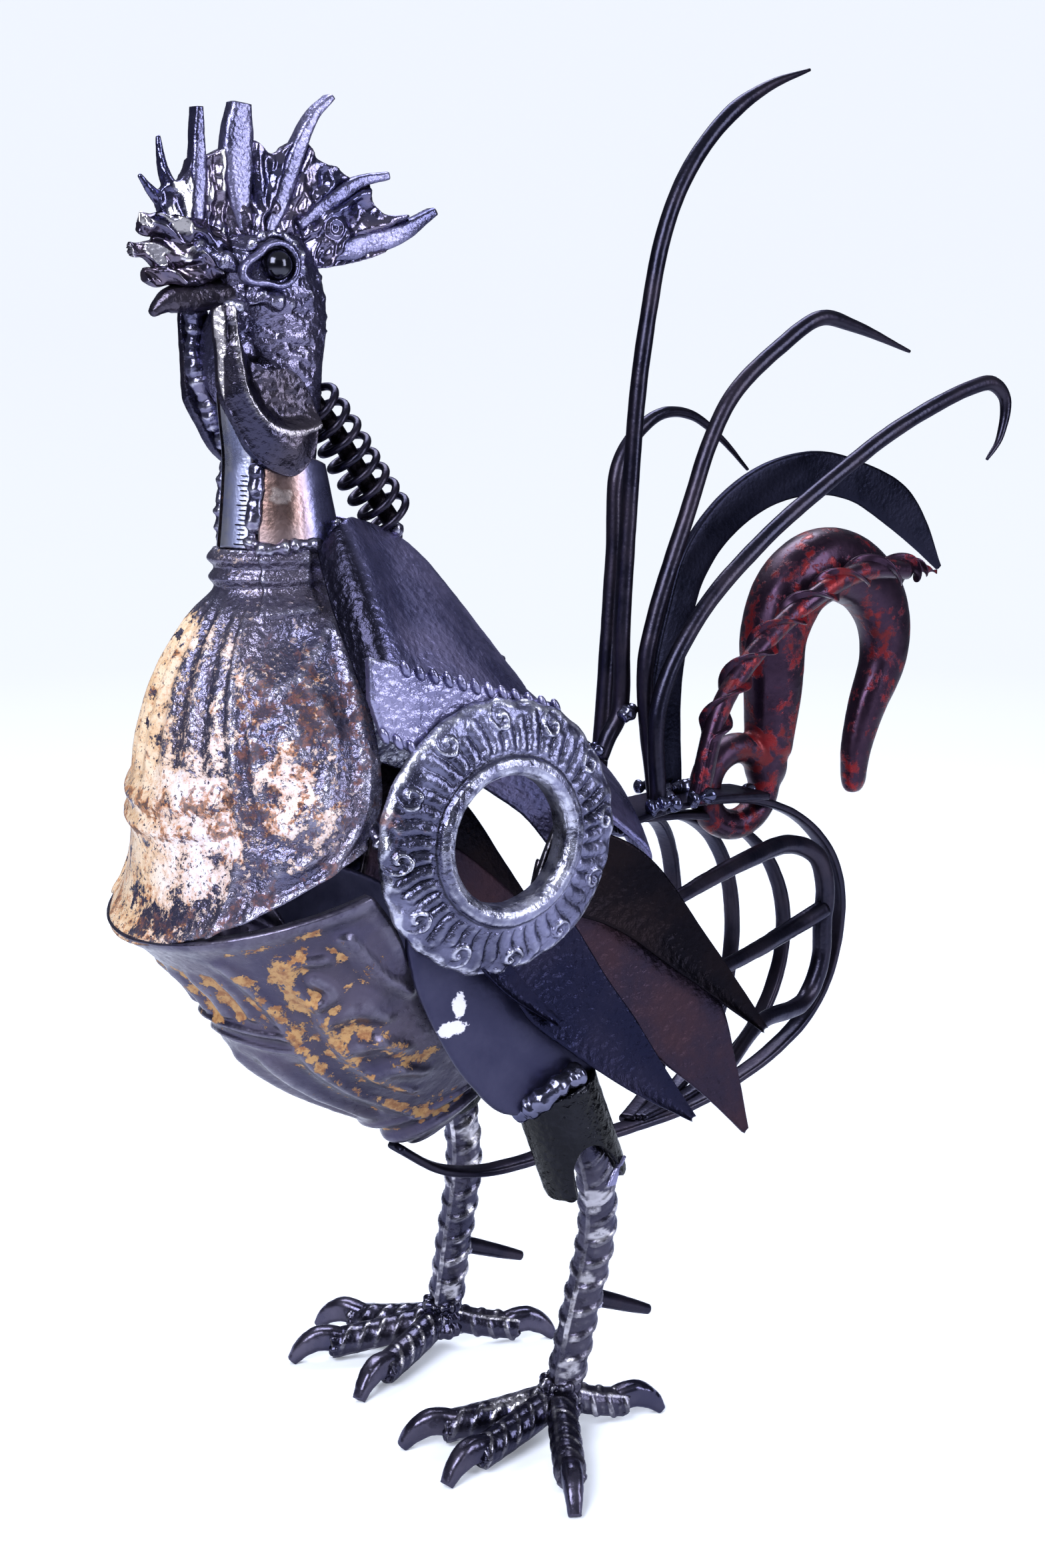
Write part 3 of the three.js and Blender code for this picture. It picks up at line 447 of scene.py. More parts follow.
def rounded(outline, steps=90):
    """The outline as a smooth closed curve."""
    ring = list(outline[-2:]) + list(outline) + list(outline[:2])
    spare = 2 / (len(ring) - 1)
    return smooth(ring, np.linspace(spare * 0.5, 1 - spare, steps, endpoint=False)).tolist()


def blob(name, centre, radii):
    """Closed lump with a radius along each axis."""
    work = bmesh.new()
    bmesh.ops.create_icosphere(work, subdivisions=3, radius=1)
    points = np.array([v.co for v in work.verts]) * np.asarray(radii, float)
    faces = [[v.index for v in f.verts] for f in work.faces]
    work.free()
    return mesh_object(name, points + np.asarray(centre, float), faces)


def joined(name, pieces):
    """One object from several, named anew."""
    first = pieces[0]
    if len(pieces) > 1:
        with bpy.context.temp_override(active_object=first, object=first, selected_editable_objects=pieces):
            bpy.ops.object.join()
    first.name = name
    first.data.name = name
    return first


def settle(piece):
    """Turns what the modifiers make into the piece's own plain mesh."""
    bpy.context.view_layer.update()
    graph = bpy.context.evaluated_depsgraph_get()
    shown = piece.evaluated_get(graph)
    plain = bpy.data.meshes.new_from_object(shown, preserve_all_data_layers=True, depsgraph=graph)
    piece.modifiers.clear()
    plain.name = piece.name
    piece.data = plain
    return piece


def fused(piece, voxel, rounds=2):
    """One skin over everything that overlaps in the piece."""
    remesh = piece.modifiers.new("Fuse", "REMESH")
    remesh.mode = "VOXEL"
    remesh.voxel_size = voxel * MM
    relax = piece.modifiers.new("Relax", "SMOOTH")
    relax.factor = 0.5
    relax.iterations = rounds
    return settle(piece)


def vertex_places(piece):
    """The piece's points in bird millimetres."""
    flat = np.empty(len(piece.data.vertices) * 3)
    piece.data.vertices.foreach_get("co", flat)
    return (flat.reshape(-1, 3) - ORIGIN) / MM


def move_to(piece, points):
    piece.data.vertices.foreach_set("co", placed(points).ravel())
    piece.data.update()


def trail(name, lines):
    """Open lines as edges; each line has its points and its radius."""
    points, edges, radii = [], [], []
    for path, radius in lines:
        first = len(points)
        points += [tuple(p) for p in path]
        radii += [radius * MM] * len(path)
        edges += [(i, i + 1) for i in range(first, len(points) - 1)]
    piece = mesh_object(name, points, [], edges)
    piece.data.attributes.new("radius", "FLOAT", "POINT").data.foreach_set("value", radii)
    return piece


# Node trees
class Nodes:
    """Short hand for filling a node tree."""

    def __init__(self, tree):
        self.tree = tree

    def add(self, kind, inputs=None, **settings):
        node = self.tree.nodes.new(kind)
        for key, value in settings.items():
            setattr(node, key, value)
        self.fill(node, inputs or {})
        return node

    def fill(self, node, inputs):
        for key, value in inputs.items():
            self.feed(self.opened(node.inputs, key), value)

    @staticmethod
    def opened(sockets, key):
        if isinstance(key, int):
            return sockets[key]
        return next(s for s in sockets if s.enabled and s.name == key)

    def feed(self, socket, value):
        if isinstance(value, bpy.types.NodeSocket):
            self.tree.links.new(value, socket)
        else:
            socket.default_value = value

    def out(self, kind, key, inputs=None, **settings):
        return self.opened(self.add(kind, inputs, **settings).outputs, key)

    def math(self, operation, *values):
        return self.out("ShaderNodeMath", "Value", dict(enumerate(values)), operation=operation)

    def times(self, a, b):
        return self.math("MULTIPLY", a, b)

    def plus(self, a, b):
        return self.math("ADD", a, b)

    def minus(self, a, b):
        return self.math("SUBTRACT", a, b)

    def line(self, value, slope, start):
        return self.math("MULTIPLY_ADD", value, slope, start)

    def vector(self, operation, *values):
        return self.out("ShaderNodeVectorMath", "Vector", dict(enumerate(values)), operation=operation)

    def dot(self, a, b):
        return self.out("ShaderNodeVectorMath", "Value", {0: a, 1: b}, operation="DOT_PRODUCT")

    def scaled(self, vector, factor):
        inputs = {"Vector": vector, "Scale": factor}
        return self.out("ShaderNodeVectorMath", "Vector", inputs, operation="SCALE")

    def length(self, vector):
        return self.out("ShaderNodeVectorMath", "Value", {0: vector}, operation="LENGTH")

    def rise(self, value, start, end, low=0.0, high=1.0):
        inputs = {"Value": value, "From Min": start, "From Max": end, "To Min": low, "To Max": high}
        return self.out("ShaderNodeMapRange", "Result", inputs, interpolation_type="SMOOTHSTEP")

    def noise(self, vector, scale, detail=4.0, roughness=0.55, distortion=0.0):
        inputs = {"Vector": vector, "Scale": scale, "Detail": detail}
        inputs.update({"Roughness": roughness, "Distortion": distortion})
        return self.out("ShaderNodeTexNoise", "Fac", inputs)

    def mix(self, factor, a, b):
        return self.out("ShaderNodeMix", "Result", {"Factor": factor, "A": a, "B": b}, data_type="RGBA")


SOCKET_KINDS = {float: "Float", int: "Int", bool: "Bool"}


def new_tree(name, kind, inputs, outputs):
    """Empty node tree, its source and its sink; an input is given by its default value or by its kind."""
    tree = bpy.data.node_groups.new(name, kind)
    for label, value in inputs.items():
        plain = type(value) in SOCKET_KINDS
        socket = "NodeSocket" + (SOCKET_KINDS[type(value)] if plain else value)
        item = tree.interface.new_socket(name=label, in_out="INPUT", socket_type=socket)
        if plain:
            item.default_value = value
    for label, socket in outputs.items():
        tree.interface.new_socket(name=label, in_out="OUTPUT", socket_type="NodeSocket" + socket)
    n = Nodes(tree)
    return n, n.add("NodeGroupInput").outputs, n.add("NodeGroupOutput").inputs


def geometry_tree(name, settings):
    """Tree that takes a geometry, its own settings and a material."""
    inputs = {"Geometry": "Geometry", **settings, "Material": "Material"}
    return new_tree(name, "GeometryNodeTree", inputs, {"Geometry": "Geometry"})


def run_nodes(piece, tree, values):
    """Runs a geometry tree on a piece and keeps the plain mesh."""
    keys = {item.name: item.identifier for item in tree.interface.items_tree if item.in_out == "INPUT"}
    modifier = piece.modifiers.new(tree.name, "NODES")
    modifier.node_group = tree
    for label, value in values.items():
        modifier[keys[label]] = value
    return settle(piece)


def close_tree(n, sink, geometry, material):
    smooth_shade = n.out("GeometryNodeSetShadeSmooth", "Geometry", {"Geometry": geometry})
    real = n.out("GeometryNodeRealizeInstances", "Geometry", {"Geometry": smooth_shade})
    n.feed(sink[0], n.out("GeometryNodeSetMaterial", "Geometry", {"Geometry": real, "Material": material}))


def with_relief(n, geometry, rounds):
    """Stores how far each point stands proud of its surroundings, in millimetres."""
    position = n.out("GeometryNodeInputPosition", "Position")
    blur = {"Value": position, "Iterations": rounds}
    level = n.out("GeometryNodeBlurAttribute", "Value", blur, data_type="FLOAT_VECTOR")
    proud = n.dot(n.vector("SUBTRACT", position, level), n.out("GeometryNodeInputNormal", "Normal"))
    stored = {"Geometry": geometry, "Name": "relief", "Value": n.times(proud, 1 / MM)}
    return n.out("GeometryNodeStoreNamedAttribute", "Geometry", stored, data_type="FLOAT", domain="POINT")


def pushed(n, geometry, height):
    """Moves each point out along its normal."""
    offset = n.scaled(n.out("GeometryNodeInputNormal", "Normal"), height)
    return n.out("GeometryNodeSetPosition", "Geometry", {"Geometry": geometry, "Offset": offset})


def forged_tree():
    """Lumps and grit on a surface, and the relief that its wear follows."""
    n, source, sink = geometry_tree("Forged surface", {
        "Lumps": 0.0002, "Lump size": 0.008, "Grit": 0.0001, "Grit size": 0.002, "Seed": 0.0, "Blur": 10,
    })
    position = n.out("GeometryNodeInputPosition", "Position")
    place = n.vector("ADD", position, n.out("ShaderNodeCombineXYZ", "Vector", {"X": source["Seed"]}))
    lumps = n.noise(place, n.math("DIVIDE", 1.0, source["Lump size"]), 2.0)
    grit = n.noise(place, n.math("DIVIDE", 1.0, source["Grit size"]), 3.0, 0.6)
    high = n.times(n.line(lumps, 2.0, -1.0), source["Lumps"])
    low = n.times(n.line(grit, 2.0, -1.0), source["Grit"])
    moved = pushed(n, source["Geometry"], n.plus(high, low))
    close_tree(n, sink, with_relief(n, moved, source["Blur"]), source["Material"])
    return n.tree


def path_curve(n, geometry):
    """A trail of edges as a curve that keeps its own radius."""
    curve = n.out("GeometryNodeMeshToCurve", "Curve", {"Mesh": geometry})
    radius = n.out("GeometryNodeInputNamedAttribute", "Attribute", {"Name": "radius"}, data_type="FLOAT")
    return n.out("GeometryNodeSetCurveRadius", "Curve", {"Curve": curve, "Radius": radius})


def spaced_curve(n, geometry, gap):
    """The same curve with a point after each gap."""
    wanted = {"Curve": path_curve(n, geometry), "Length": gap}
    return n.out("GeometryNodeResampleCurve", "Curve", wanted, mode="LENGTH")


def captured(n, geometry, field):
    """A field kept on the geometry before it changes."""
    node = n.add("GeometryNodeCaptureAttribute")
    node.capture_items.new("FLOAT", "kept")
    n.feed(node.inputs[0], geometry)
    n.feed(node.inputs[1], field)
    return node.outputs[0], node.outputs[1]


def ribbed_tree():
    """Reinforcing bar: slanted crescent ribs and two seams along a trail."""
    n, source, sink = geometry_tree("Ribbed bar", {
        "Sides": 36, "Step": 0.0007, "Rib": 0.001, "Pitch": 0.01, "Slant": 0.5, "Turn": 0.0, "Seam": 0.0008,
        "Lumps": 0.0002,
    })
    line = spaced_curve(n, source["Geometry"], source["Step"])
    line, along = captured(n, line, n.out("GeometryNodeSplineParameter", "Length"))
    ring = n.out("GeometryNodeCurvePrimitiveCircle", "Curve", {"Resolution": source["Sides"], "Radius": 1.0})
    ring, around = captured(n, ring, n.out("GeometryNodeSplineParameter", "Factor"))
    radius = n.out("GeometryNodeInputRadius", "Radius")
    skin = {"Curve": line, "Profile Curve": ring, "Scale": radius, "Fill Caps": True}
    tube = n.out("GeometryNodeCurveToMesh", "Mesh", skin)
    angle = n.line(around, 2 * math.pi, source["Turn"])
    height = n.math("SINE", angle)
    lean = n.times(n.math("COSINE", angle), source["Slant"])
    half = n.times(n.math("GREATER_THAN", height, 0.0), 0.5)
    phase = n.plus(n.math("DIVIDE", along, source["Pitch"]), n.plus(lean, half))
    crest = n.rise(n.math("COSINE", n.times(phase, 2 * math.pi)), 0.3, 0.95)
    flank = n.math("ABSOLUTE", height)
    rib = n.times(n.times(crest, n.math("POWER", flank, 0.9)), source["Rib"])
    seam = n.times(n.rise(flank, 0.05, 0.2, 1.0, 0.0), source["Seam"])
    position = n.out("GeometryNodeInputPosition", "Position")
    lumps = n.times(n.minus(n.noise(position, 260.0, 3.0), 0.5), source["Lumps"])
    moved = pushed(n, tube, n.plus(n.plus(rib, seam), lumps))
    close_tree(n, sink, with_relief(n, moved, 8), source["Material"])
    return n.tree


def weld_tree():
    """Run of weld metal: overlapping pools along a trail."""
    n, source, sink = geometry_tree("Weld run", {"Step": 0.0016, "Uneven": 0.35, "Seed": 3})
    line = spaced_curve(n, source["Geometry"], source["Step"])
    radius = n.out("GeometryNodeInputRadius", "Radius")
    low = n.minus(1.0, source["Uneven"])
    high = n.plus(1.0, source["Uneven"])
    span = {"Min": low, "Max": high, "Seed": source["Seed"]}
    size = n.times(radius, n.out("FunctionNodeRandomValue", "Value", span, data_type="FLOAT"))
    short = n.times(size, 0.62)
    scale = n.out("ShaderNodeCombineXYZ", "Vector", {"X": short, "Y": size, "Z": size})
    tangent = n.out("GeometryNodeInputTangent", "Tangent")
    turn = n.out("FunctionNodeAlignRotationToVector", "Rotation", {"Vector": tangent}, axis="X")
    pool = n.out("GeometryNodeMeshIcoSphere", "Mesh", {"Radius": 1.0, "Subdivisions": 3})
    spots = {"Points": line, "Instance": pool, "Rotation": turn, "Scale": scale}
    pools = n.out("GeometryNodeInstanceOnPoints", "Instances", spots)
    real = n.out("GeometryNodeRealizeInstances", "Geometry", {"Geometry": pools})
    position = n.out("GeometryNodeInputPosition", "Position")
    ripple = n.times(n.minus(n.noise(position, 420.0, 2.0), 0.5), 0.0012)
    close_tree(n, sink, pushed(n, real, ripple), source["Material"])
    return n.tree


def spring_tree():
    """Coil wound round a trail."""
    n, source, sink = geometry_tree("Coil spring", {"Turns": 9.0, "Coil": 0.0086, "Wire": 0.0015})
    wanted = {"Curve": path_curve(n, source["Geometry"]), "Count": 420}
    line = n.out("GeometryNodeResampleCurve", "Curve", wanted, mode="COUNT")
    share = n.out("GeometryNodeSplineParameter", "Factor")
    angle = n.times(n.times(share, source["Turns"]), 2 * math.pi)
    tangent = n.out("GeometryNodeInputTangent", "Tangent")
    side = n.vector("NORMALIZE", n.vector("CROSS_PRODUCT", tangent, ACROSS))
    across = n.scaled(side, n.math("SINE", angle))
    level = n.scaled(ACROSS, n.math("COSINE", angle))
    offset = n.scaled(n.vector("ADD", across, level), source["Coil"])
    coil = n.out("GeometryNodeSetPosition", "Geometry", {"Geometry": line, "Offset": offset})
    ring = n.out("GeometryNodeCurvePrimitiveCircle", "Curve", {"Resolution": 14, "Radius": source["Wire"]})
    wire = n.out("GeometryNodeCurveToMesh", "Mesh", {"Curve": coil, "Profile Curve": ring, "Fill Caps": True})
    close_tree(n, sink, wire, source["Material"])
    return n.tree


def stamped_tree():
    """Small blocks or beads set at a pitch along a trail, such as rope beads and rule ticks."""
    n, source, sink = geometry_tree("Stamped row", {
        "Pitch": 0.0056, "Size": "Vector", "Turn": "Rotation", "Long every": 1, "Long": 1.0, "Square": False,
    })
    line = spaced_curve(n, source["Geometry"], source["Pitch"])
    number = n.out("GeometryNodeInputIndex", "Index")
    odd = n.math("COMPARE", n.math("MODULO", number, source["Long every"]), 0.0, 0.5)
    stretch = n.line(odd, n.minus(source["Long"], 1.0), 1.0)
    longer = n.out("ShaderNodeCombineXYZ", "Vector", {"X": 1.0, "Y": stretch, "Z": 1.0})
    scale = n.vector("MULTIPLY", source["Size"], longer)
    bead = n.out("GeometryNodeMeshIcoSphere", "Mesh", {"Radius": 0.5, "Subdivisions": 3})
    block = n.out("GeometryNodeMeshCube", "Mesh", {"Size": (1.0, 1.0, 1.0)})
    shape = n.out("GeometryNodeSwitch", "Output", {"Switch": source["Square"], "False": bead, "True": block})
    spots = {"Points": line, "Instance": shape, "Rotation": source["Turn"], "Scale": scale}
    close_tree(n, sink, n.out("GeometryNodeInstanceOnPoints", "Instances", spots), source["Material"])
    return n.tree


# Shader groups
def colour(rgb):
    return (*rgb, 1.0)


def wear_group():
    """Masks of worn raised spots, dirty hollows and ground flats, from values kept on the mesh."""
    inputs = {"Vector": "Vector", "Start": 0.05, "Full": 0.25, "Patchy": 0.0}
    outputs = {"Edge": "Float", "Hollow": "Float", "Ground": "Float"}
    n, source, sink = new_tree("Worn relief", "ShaderNodeTree", inputs, outputs)
    relief = kept_value(n, "relief")
    speckle = n.rise(n.noise(source["Vector"], 160.0, 5.0, 0.65), 0.32, 0.62)
    spots = n.rise(n.noise(source["Vector"], 75.0, 3.0, 0.6), 0.52, 0.6)
    spots = n.line(source["Patchy"], n.minus(spots, 1.0), 1.0)
    raised = n.rise(relief, source["Start"], source["Full"])
    n.feed(sink["Edge"], n.times(raised, n.times(speckle, spots)))
    low = n.times(relief, -1.0)
    n.feed(sink["Hollow"], n.rise(low, source["Start"], source["Full"]))
    ground = kept_value(n, "ground")
    ragged = n.rise(n.noise(source["Vector"], 240.0, 5.0, 0.7), 0.35, 0.5, 0.35, 1.0)
    n.feed(sink["Ground"], n.times(ground, ragged))
    return n.tree


def grain_group():
    """Broad clouds, fine grain and a height for the surface's own texture."""
    inputs = {"Vector": "Vector", "Scale": 400.0}
    outputs = {"Broad": "Float", "Fine": "Float", "Height": "Float"}
    n, source, sink = new_tree("Metal grain", "ShaderNodeTree", inputs, outputs)
    n.feed(sink["Broad"], n.rise(n.noise(source["Vector"], 34.0, 5.0, 0.6), 0.36, 0.66))
    fine = n.noise(source["Vector"], source["Scale"], 3.0, 0.6)
    n.feed(sink["Fine"], fine)
    pits = n.out("ShaderNodeTexVoronoi", "Distance", {"Vector": source["Vector"], "Scale": source["Scale"]})
    n.feed(sink["Height"], n.plus(fine, n.times(pits, 0.5)))
    return n.tree


def rust_group():
    """Blooms of rust with a brown middle and an orange rim."""
    inputs = {"Vector": "Vector", "Scale": 45.0, "Amount": 0.3}
    outputs = {"Mask": "Float", "Colour": "Color"}
    n, source, sink = new_tree("Rust bloom", "ShaderNodeTree", inputs, outputs)
    clouds = n.noise(source["Vector"], source["Scale"], 8.0, 0.68, 0.4)
    edge = n.minus(0.74, n.times(source["Amount"], 0.4))
    n.feed(sink["Mask"], n.rise(clouds, edge, n.plus(edge, 0.07)))
    speck = n.noise(source["Vector"], n.times(source["Scale"], 7.0), 4.0, 0.7)
    deep = n.minus(clouds, edge)
    deep = n.rise(n.plus(deep, n.times(n.minus(speck, 0.5), 0.3)), 0.02, 0.14)
    tone = n.mix(deep, colour((0.4, 0.14, 0.035)), colour((0.06, 0.017, 0.009)))
    n.feed(sink["Colour"], tone)
    return n.tree


TREES = {}


def tree(name):
    """A shared tree, built the first time it is asked for."""
    makers = {
        "forged": forged_tree, "ribbed": ribbed_tree, "weld": weld_tree, "spring": spring_tree,
        "stamped": stamped_tree, "wear": wear_group, "grain": grain_group, "rust": rust_group,
    }
    if name not in TREES:
        TREES[name] = makers[name]()
    return TREES[name]


# Materials
def new_material(name):
    material = bpy.data.materials.new(name)
    material.use_nodes = True
    n = Nodes(material.node_tree)
    shader = material.node_tree.nodes["Principled BSDF"]
    place = n.out("ShaderNodeTexCoord", "Object")
    return material, n, shader, place


def effect(n, name, inputs):
    return n.add("ShaderNodeGroup", inputs, node_tree=tree(name)).outputs


def bumped(n, shader, height, strength, distance):
    inputs = {"Height": height, "Strength": strength, "Distance": distance}
    normal = n.out("ShaderNodeBump", "Normal", inputs)
    n.feed(shader.inputs["Normal"], normal)
    n.feed(shader.inputs["Coat Normal"], normal)


def cold(rgb):
    """The bluish cast that all the bare metal of the bird has."""
    return (rgb[0], rgb[1], rgb[2] * 1.22, 1.0)


def worn_metal(
        name, face, tint, bright=(0.3, 0.29, 0.36), edge=(0.5, 1.0), rough=(0.28, 0.42), grain=520.0,
        bump=0.3, rust=0.1, patchy=0.0, coat=0.0, rim=0.55, rear=None):
    """Bare metal: clouded face, dark hollows, bright worn edges, ground flats and some rust."""
    material, n, shader, place = new_material(name)
    wear = effect(n, "wear", {"Vector": place, "Start": edge[0], "Full": edge[1], "Patchy": patchy})
    texture = effect(n, "grain", {"Vector": place, "Scale": grain})
    bloom = effect(n, "rust", {"Vector": place, "Scale": 38.0, "Amount": rust})
    tone = n.mix(texture["Broad"], cold(face), cold(tint))
    # Where the kept value warm is 0, the rear tone replaces the face. This is painted shade on the back
    # plates' front strip and on the neck plates' side turned from the lamps.
    if rear:
        tone = n.mix(kept_value(n, "warm"), cold(rear), tone)
    tone = n.mix(n.times(wear["Hollow"], 0.85), tone, colour([c * 0.2 for c in face]))
    shine = n.math("MAXIMUM", wear["Edge"], wear["Ground"])
    tone = n.mix(shine, tone, colour(bright))
    rusty = n.times(bloom["Mask"], min(1.0, rust * 1.6))
    sheen = n.rise(n.plus(texture["Broad"], texture["Fine"]), 0.3, 1.3, rough[0], rough[1])
    n.fill(shader, {
        "Base Color": n.mix(rusty, tone, bloom["Colour"]), "Metallic": n.line(rusty, -0.66, 0.95),
        "Roughness": n.line(rusty, 0.3, sheen), "Specular Tint": cold((rim, rim, rim * 0.94)),
        "Coat Weight": coat, "Coat Roughness": 0.15,
    })
    bumped(n, shader, texture["Height"], bump, 0.0006)
    return material


def kept_value(n, key):
    return n.out("ShaderNodeAttribute", "Fac", attribute_name=key)


def cream_enamel():
    """Old enamel, chipped to dark iron, with rust that bleeds round the chips."""
    look = bpy.context.scene.rooster_finish
    material, n, shader, place = new_material("cream_enamel")
    wear = effect(n, "wear", {"Vector": place, "Start": 0.15, "Full": 0.8})
    texture = effect(n, "grain", {"Vector": place, "Scale": 420.0})
    rusty = kept_value(n, "rusty")
    chips = n.noise(place, 95.0, 10.0, 0.74, 0.2)
    spare = n.minus(chips, n.line(kept_value(n, "kept"), -0.42, 0.71))
    broken = n.rise(n.noise(place, 72.0, 8.0, 0.62, 0.3), 0.595, 0.625, 0.0, 0.34)
    spare = n.minus(spare, broken)
    pocks = n.rise(n.noise(place, 600.0, 4.0, 0.7), 0.38, 0.42)
    spatter = n.rise(n.noise(place, 420.0, 5.0, 0.72), 0.55, 0.59)
    spatter = n.times(spatter, n.rise(spare, -0.22, -0.03, 0.0, 0.9))
    enamel = n.math("MAXIMUM", n.times(n.rise(spare, -0.008, 0.012), pocks), spatter)
    near = n.rise(spare, 0.0, 0.17, 1.0, 0.0)
    amount = n.line(rusty, 0.72, 0.12)
    bloom = effect(n, "rust", {"Vector": place, "Scale": 165.0, "Amount": amount})
    spread = n.line(n.math("MAXIMUM", near, rusty), 0.4, 0.6)
    stain = n.times(bloom["Mask"], spread)
    speck = n.rise(n.noise(place, 800.0, 4.0, 0.7), 0.57, 0.63)
    stain = n.math("MAXIMUM", stain, n.times(speck, n.line(rusty, 0.6, 0.35)))
    glaze = n.mix(kept_value(n, "warm"), colour(look.enamel_white), colour(look.enamel_cream))
    glaze = n.mix(n.times(near, 0.6), glaze, colour((0.46, 0.24, 0.08)))
    iron = n.mix(texture["Broad"], colour((0.075, 0.072, 0.125)), colour((0.12, 0.105, 0.15)))
    iron = n.mix(wear["Edge"], iron, colour((0.2, 0.19, 0.26)))
    burnt = n.times(bloom["Mask"], n.times(rusty, 0.8))
    scorch = n.rise(n.noise(place, 340.0, 7.0, 0.75), 0.46, 0.62)
    iron = n.mix(burnt, iron, n.mix(scorch, colour((0.03, 0.014, 0.016)), colour((0.24, 0.075, 0.024))))
    face = n.mix(n.times(stain, 0.95), glaze, bloom["Colour"])
    n.fill(shader, {
        "Base Color": n.mix(enamel, iron, face), "Metallic": n.line(enamel, -0.8, 0.8),
        "Roughness": n.rise(stain, 0.0, 1.0, 0.22, 0.75),
    })
    pitted = n.times(texture["Height"], n.line(enamel, -0.7, 1.2))
    bumped(n, shader, n.plus(enamel, pitted), 0.8, 0.0007)
    return material


def ochre_remains():
    """Dark casting with remains of ochre paint along its hollows."""
    look = bpy.context.scene.rooster_finish
    material, n, shader, place = new_material("ochre_remains")
    wear = effect(n, "wear", {"Vector": place, "Start": 0.12, "Full": 0.9})
    texture = effect(n, "grain", {"Vector": place, "Scale": 380.0})
    chips = n.noise(place, 85.0, 10.0, 0.74, 0.25)
    kept = n.plus(kept_value(n, "kept"), n.times(wear["Hollow"], 0.45))
    paint = n.rise(n.minus(chips, n.line(kept, -0.42, 0.71)), -0.006, 0.01)
    speckle = n.noise(place, 240.0, 5.0, 0.7)
    tone = n.mix(n.rise(speckle, 0.42, 0.62), colour(look.ochre), colour((0.2, 0.075, 0.022)))
    iron = n.mix(texture["Broad"], colour((0.044, 0.039, 0.072)), colour((0.068, 0.057, 0.085)))
    iron = n.mix(n.times(wear["Hollow"], 0.7), iron, colour((0.014, 0.012, 0.02)))
    iron = n.mix(n.times(wear["Edge"], 0.4), iron, colour((0.16, 0.15, 0.2)))
    n.fill(shader, {
        "Base Color": n.mix(paint, iron, tone), "Metallic": n.line(paint, -0.85, 0.85),
        "Roughness": n.rise(n.plus(paint, texture["Fine"]), 0.2, 1.2, 0.24, 0.66),
    })
    layer = n.plus(paint, n.times(texture["Height"], 0.4))
    bumped(n, shader, layer, 0.6, 0.0006)
    return material


def red_paint():
    """Dark red paint worn to black iron on edges and in scrapes."""
    look = bpy.context.scene.rooster_finish
    material, n, shader, place = new_material("red_paint")
    wear = effect(n, "wear", {"Vector": place, "Start": 0.03, "Full": 0.2})
    texture = effect(n, "grain", {"Vector": place, "Scale": 300.0})
    clouds = n.noise(n.vector("MULTIPLY", place, (1.0, 1.0, 0.6)), 42.0, 9.0, 0.72, 0.3)
    lost = n.plus(clouds, n.times(wear["Edge"], 0.2))
    bare = n.rise(lost, 0.46, 0.62)
    tone = n.mix(texture["Broad"], colour(look.red), colour((0.07, 0.006, 0.009)))
    iron = n.mix(texture["Fine"], colour((0.018, 0.01, 0.022)), colour((0.042, 0.022, 0.04)))
    n.fill(shader, {
        "Base Color": n.mix(bare, tone, iron), "Metallic": n.line(bare, 0.5, 0.35),
        "Specular IOR Level": 0.2, "Roughness": n.rise(texture["Broad"], 0.0, 1.0, 0.26, 0.42),
    })
    layer = n.plus(n.times(texture["Height"], 0.5), n.minus(1.0, bare))
    bumped(n, shader, layer, 0.35, 0.0004)
    return material


# Spots scraped bare on the left thigh plate: middle in bird millimetres, and how much each axis is squeezed
BARE_SPOTS = [((-57.0, -58.6, 195.0), (1.0, 1.0, 0.52)), ((-60.5, -58.6, 187.0), (0.42, 1.0, 0.9))]


def blue_sheet():
    """Blue-grey sheet with two patches scraped to white metal."""
    material, n, shader, place = new_material("blue_sheet")
    texture = effect(n, "grain", {"Vector": place, "Scale": 500.0})
    bloom = effect(n, "rust", {"Vector": place, "Scale": 60.0, "Amount": 0.16})
    ragged = n.times(n.minus(n.noise(place, 260.0, 6.0, 0.7), 0.5), 0.006)
    marks = []
    for centre, stretch in BARE_SPOTS:
        apart = n.vector("MULTIPLY", n.vector("SUBTRACT", place, tuple(placed(centre))), stretch)
        marks.append(n.rise(n.plus(n.length(apart), ragged), 0.0024, 0.0029, 1.0, 0.0))
    scraped = n.math("MAXIMUM", *marks)
    tone = n.mix(texture["Broad"], colour((0.016, 0.0155, 0.044)), colour((0.03, 0.029, 0.064)))
    tone = n.mix(n.times(bloom["Mask"], 0.4), tone, bloom["Colour"])
    n.fill(shader, {
        "Base Color": n.mix(scraped, tone, colour((0.62, 0.6, 0.68))), "Metallic": 0.7,
        "Roughness": n.rise(texture["Broad"], 0.0, 1.0, 0.34, 0.46),
    })
    bumped(n, shader, texture["Fine"], 0.2, 0.0004)
    return material


